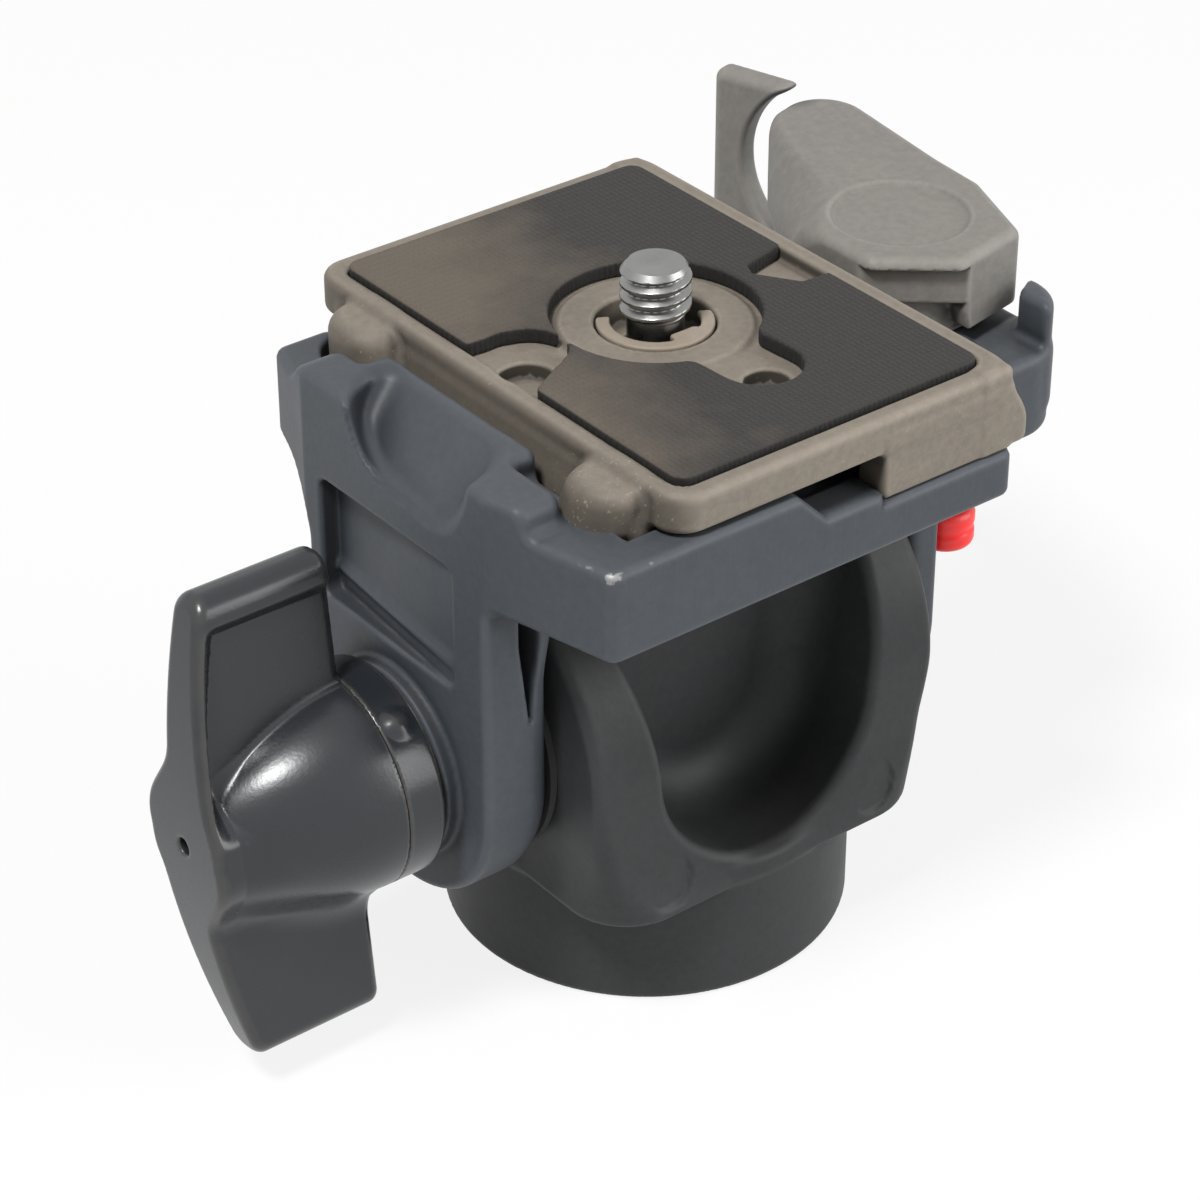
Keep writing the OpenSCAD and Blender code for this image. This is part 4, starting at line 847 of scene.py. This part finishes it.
class TILTHEAD_OT_plate(TiltHeadOperator, bpy.types.Operator):
    """Builds the quick-release plate and its rubber pad"""
    bl_idname = "tilthead.plate"
    bl_label = "Plate and pad"

    def execute(self, context):
        sizes, colours = self.settings(context)
        low, high = span("qr_plate")
        plate = skin("plate_casting", plate_field, low - (3, 0, 0), high + (1, 0, 0), sizes.mesh_step / MM)
        paint = painted_casting("Taupe paint on die-cast aluminium, worn", colours.plate_paint, colours,
                                roughness=0.55, dusty=0.15, grime_and_shade=0.85, speckle=0.12, grit=GRIT_SPOT,
                                painted_side_shade=0.6)
        settle(plate, paint, "head", "plate_metal", "qr_plate")
        pad = skin("pad_sheet", pad_field, *span("plate_pad"), sizes.fine_step / MM)
        rubber = ribbed_rubber("Ribbed moulded rubber, dusty", colours.rubber, colours.rubber_dust)
        settle(pad, rubber, "head", "pad_rubber", "plate_pad")
        return {"FINISHED"}


class TILTHEAD_OT_screw(TiltHeadOperator, bpy.types.Operator):
    """Builds the camera screw with its thread, and the clip round its neck"""
    bl_idname = "tilthead.screw"
    bl_label = "Camera screw"

    def execute(self, context):
        sizes, colours = self.settings(context)
        mesh = screw_mesh("camera_screw_threaded", sizes.thread_pitch / MM, sizes.thread_depth / MM)
        steel = turned_metal("Zinc-plated turned steel", colours.steel, 0.32)
        screw = place("camera_screw_threaded", mesh)
        settle(screw, steel, "stud", "steel", "camera_screw")
        low, high = span("screw_clip")
        clip = skin("spring_clip", clip_field, low - 2.0, high + 2.0, 0.2)
        tan = painted_casting("Bronze-coated spring steel, worn", linear("#8f8476"), colours,
                              roughness=0.45, dusty=0.3, grime_and_shade=0.4)
        settle(clip, tan, "head", "steel", "screw_clip")
        return {"FINISHED"}


class TILTHEAD_OT_lever(TiltHeadOperator, bpy.types.Operator):
    """Builds the locking lever with its finger blade"""
    bl_idname = "tilthead.lever"
    bl_label = "Lever"

    def execute(self, context):
        sizes, colours = self.settings(context)
        low, high = span("lever_arm")
        piece = skin("lever_casting", lever_field, low, high + (1, 0, 1), sizes.fine_step / MM)
        paint = painted_casting("Warm grey paint on die-cast zinc", colours.lever_paint, colours,
                                roughness=0.5, dusty=0.12, grime_and_shade=0.8)
        settle(piece, paint, "lever", "lever_metal", "lever_arm")
        return {"FINISHED"}


class TILTHEAD_OT_knob(TiltHeadOperator, bpy.types.Operator):
    """Builds the two moulded halves of the locking knob"""
    bl_idname = "tilthead.knob"
    bl_label = "Knob"

    def execute(self, context):
        sizes, colours = self.settings(context)
        plastic = moulded_plastic("Moulded black nylon", colours.knob_plastic, colours.dust, 0.25)
        low, high = span("knob_wing")
        wing = skin("knob_wing_moulding", wing_field, low - 2.0, high + 2.0, sizes.fine_step / MM)
        settle(wing, plastic, "knob", "knob_plastic", "knob_wing")
        collar = skin("knob_collar_moulding", collar_field, COLLAR_LOW - 0.5, COLLAR_HIGH + 0.5,
                      sizes.fine_step / MM)
        settle(collar, plastic, "knob", "knob_plastic", "knob_collar")
        return {"FINISHED"}


class TILTHEAD_OT_catch(TiltHeadOperator, bpy.types.Operator):
    """Builds the red button of the safety catch"""
    bl_idname = "tilthead.catch"
    bl_label = "Catch"

    def execute(self, context):
        sizes, colours = self.settings(context)
        button = skin("catch_button_moulding", button_field, *span("catch_button"), sizes.fine_step / MM)
        plastic = moulded_plastic("Moulded red acetal", colours.catch_plastic, colours.dust, 0.35)
        settle(button, plastic, "catch", "catch_plastic", "catch_button")
        return {"FINISHED"}


class TILTHEAD_OT_hardware(TiltHeadOperator, bpy.types.Operator):
    """Finishes the solids that stay: bolt, bushes, washers, pins and springs"""
    bl_idname = "tilthead.hardware"
    bl_label = "Inner hardware"

    def execute(self, context):
        _sizes, colours = self.settings(context)
        finishes = {
            "steel": bpy.data.materials["Zinc-plated turned steel"],
            "spring_steel": turned_metal("Drawn spring wire", colours.steel, 0.38),
            "brass": turned_metal("Turned brass", colours.brass, 0.34),
            "nylon": moulded_plastic("Stamped nylon sheet", colours.nylon, colours.dust, 0.45),
        }
        for part in frame["record"]["subparts"]:
            finish = finishes.get(part["material_slot"])
            solid = frame["nodes"][part["node"]]
            if finish and not solid.hide_render:
                solid.data.materials.clear()
                solid.data.materials.append(finish)
        return {"FINISHED"}


# The photo's camera, fitted to the edges of the plate and the foot, and the lamps with place, size and power
PHOTO_PIXELS, FOCAL_PIXELS, SENSOR = 1200, 3720.9, 36.0
EYE = (-0.17979, -0.22289, 0.21620)
EYE_RIGHT, EYE_UP = (0.7877, -0.6161, 0.0), (0.3342, 0.4272, 0.8401)
LAMPS = (("overhead_softbox", (-0.46, -0.15, 0.92), 0.20, 8.7), ("front_fill", (0.72, -0.76, 0.45), 0.8, 8.2))
LAMP_AIM, FLOOR_HALF, WHITE = (0, 0, 0.04), 3.0, (1, 1, 1, 1)


class TILTHEAD_OT_stage(TiltHeadOperator, bpy.types.Operator):
    """Sets the camera, the soft studio light and the pale floor"""
    bl_idname = "tilthead.stage"
    bl_label = "Studio"

    def execute(self, context):
        scene = context.scene
        _sizes, colours = self.settings(context)
        scene.view_settings.view_transform = "Standard"
        camera = bpy.data.cameras.new("photo_camera")
        camera.sensor_width = SENSOR
        camera.lens = SENSOR * FOCAL_PIXELS / PHOTO_PIXELS
        camera.clip_start, camera.clip_end = 0.01, 20.0
        eye = bpy.data.objects.new("photo_camera", camera)
        right = Vector(EYE_RIGHT)
        back = right.cross(Vector(EYE_UP)).normalized()
        turn = Matrix((right, back.cross(right), back)).transposed()
        eye.matrix_world = Matrix.Translation(EYE) @ turn.to_4x4()
        scene.collection.objects.link(eye)
        scene.camera = eye
        for name, at, size, power in LAMPS:
            lamp = bpy.data.lights.new(name, "AREA")
            lamp.shape, lamp.size, lamp.energy = "SQUARE", size, power
            holder = bpy.data.objects.new(name, lamp)
            aim = Vector(LAMP_AIM) - Vector(at)
            holder.matrix_world = Matrix.Translation(at) @ aim.to_track_quat("-Z", "Y").to_matrix().to_4x4()
            scene.collection.objects.link(holder)
        # The world lights softly, but is seen and mirrored as plain white
        world = bpy.data.worlds.new("studio")
        world.use_nodes = True
        scene.world = world
        tree = world.node_tree
        tree.nodes.clear()
        seen = seen_by(tree, "Is Camera Ray", "Is Glossy Ray", "Is Transmission Ray")
        light = node(tree, "Background", {"Color": WHITE, "Strength": 0.2})
        white = node(tree, "Background", {"Color": WHITE, "Strength": 1.0})
        both = node(tree, "MixShader", {0: seen, 1: light, 2: white})
        node(tree, "OutputWorld", {"Surface": both})
        # The paper shows almost white, and keeps a little of each shadow
        material, tree, _where, _normal = blank("Matt white paper sweep")
        seen = seen_by(tree, "Is Camera Ray", "Is Glossy Ray")
        share = node(tree, "Math", {0: seen, 1: 0.85}, operation="MULTIPLY")
        matt = node(tree, "BsdfDiffuse", {"Color": rgba(colours.floor)})
        glow = node(tree, "Emission", {"Color": WHITE, "Strength": 1.0})
        mixed = node(tree, "MixShader", {0: share, 1: matt, 2: glow})
        node(tree, "OutputMaterial", {"Surface": mixed})
        mesh = bpy.data.meshes.new("studio_floor")
        corners = ((-1, -1), (1, -1), (1, 1), (-1, 1))
        mesh.from_pydata([(FLOOR_HALF * x, FLOOR_HALF * y, 0) for x, y in corners], [], [(0, 1, 2, 3)])
        mesh.materials.append(material)
        place("studio_floor", mesh)
        return {"FINISHED"}


OPERATORS = (TILTHEAD_OT_base, TILTHEAD_OT_head, TILTHEAD_OT_plate, TILTHEAD_OT_screw, TILTHEAD_OT_lever,
             TILTHEAD_OT_knob, TILTHEAD_OT_catch, TILTHEAD_OT_hardware, TILTHEAD_OT_stage)


class TILTHEAD_PT_panel(bpy.types.Panel):
    """Lists the operators and settings of the tilt head"""
    bl_idname = "TILTHEAD_PT_panel"
    bl_label = "Tilt head"
    bl_space_type = "VIEW_3D"
    bl_region_type = "UI"
    bl_category = "Tilt head"

    def draw(self, context):
        for operator in OPERATORS:
            self.layout.operator(operator.bl_idname)
        for group in (context.scene.tilt_head_sizes, context.scene.tilt_head_colours):
            for name in group.__annotations__:
                self.layout.prop(group, name)


CLASSES = (TiltHeadSizes, TiltHeadColours, *OPERATORS, TILTHEAD_PT_panel)


def register():
    """Adds the settings, operators and panel to Blender."""
    for item in CLASSES:
        bpy.utils.register_class(item)
    bpy.types.Scene.tilt_head_sizes = bpy.props.PointerProperty(type=TiltHeadSizes)
    bpy.types.Scene.tilt_head_colours = bpy.props.PointerProperty(type=TiltHeadColours)


def unregister():
    """Takes them out again."""
    del bpy.types.Scene.tilt_head_colours
    del bpy.types.Scene.tilt_head_sizes
    for item in reversed(CLASSES):
        bpy.utils.unregister_class(item)


def main():
    """Builds every piece and the stage."""
    register()
    for operator in OPERATORS:
        group, name = operator.bl_idname.split(".")
        getattr(getattr(bpy.ops, group), name)()
    bpy.context.view_layer.update()


if __name__ == "__main__":
    main()
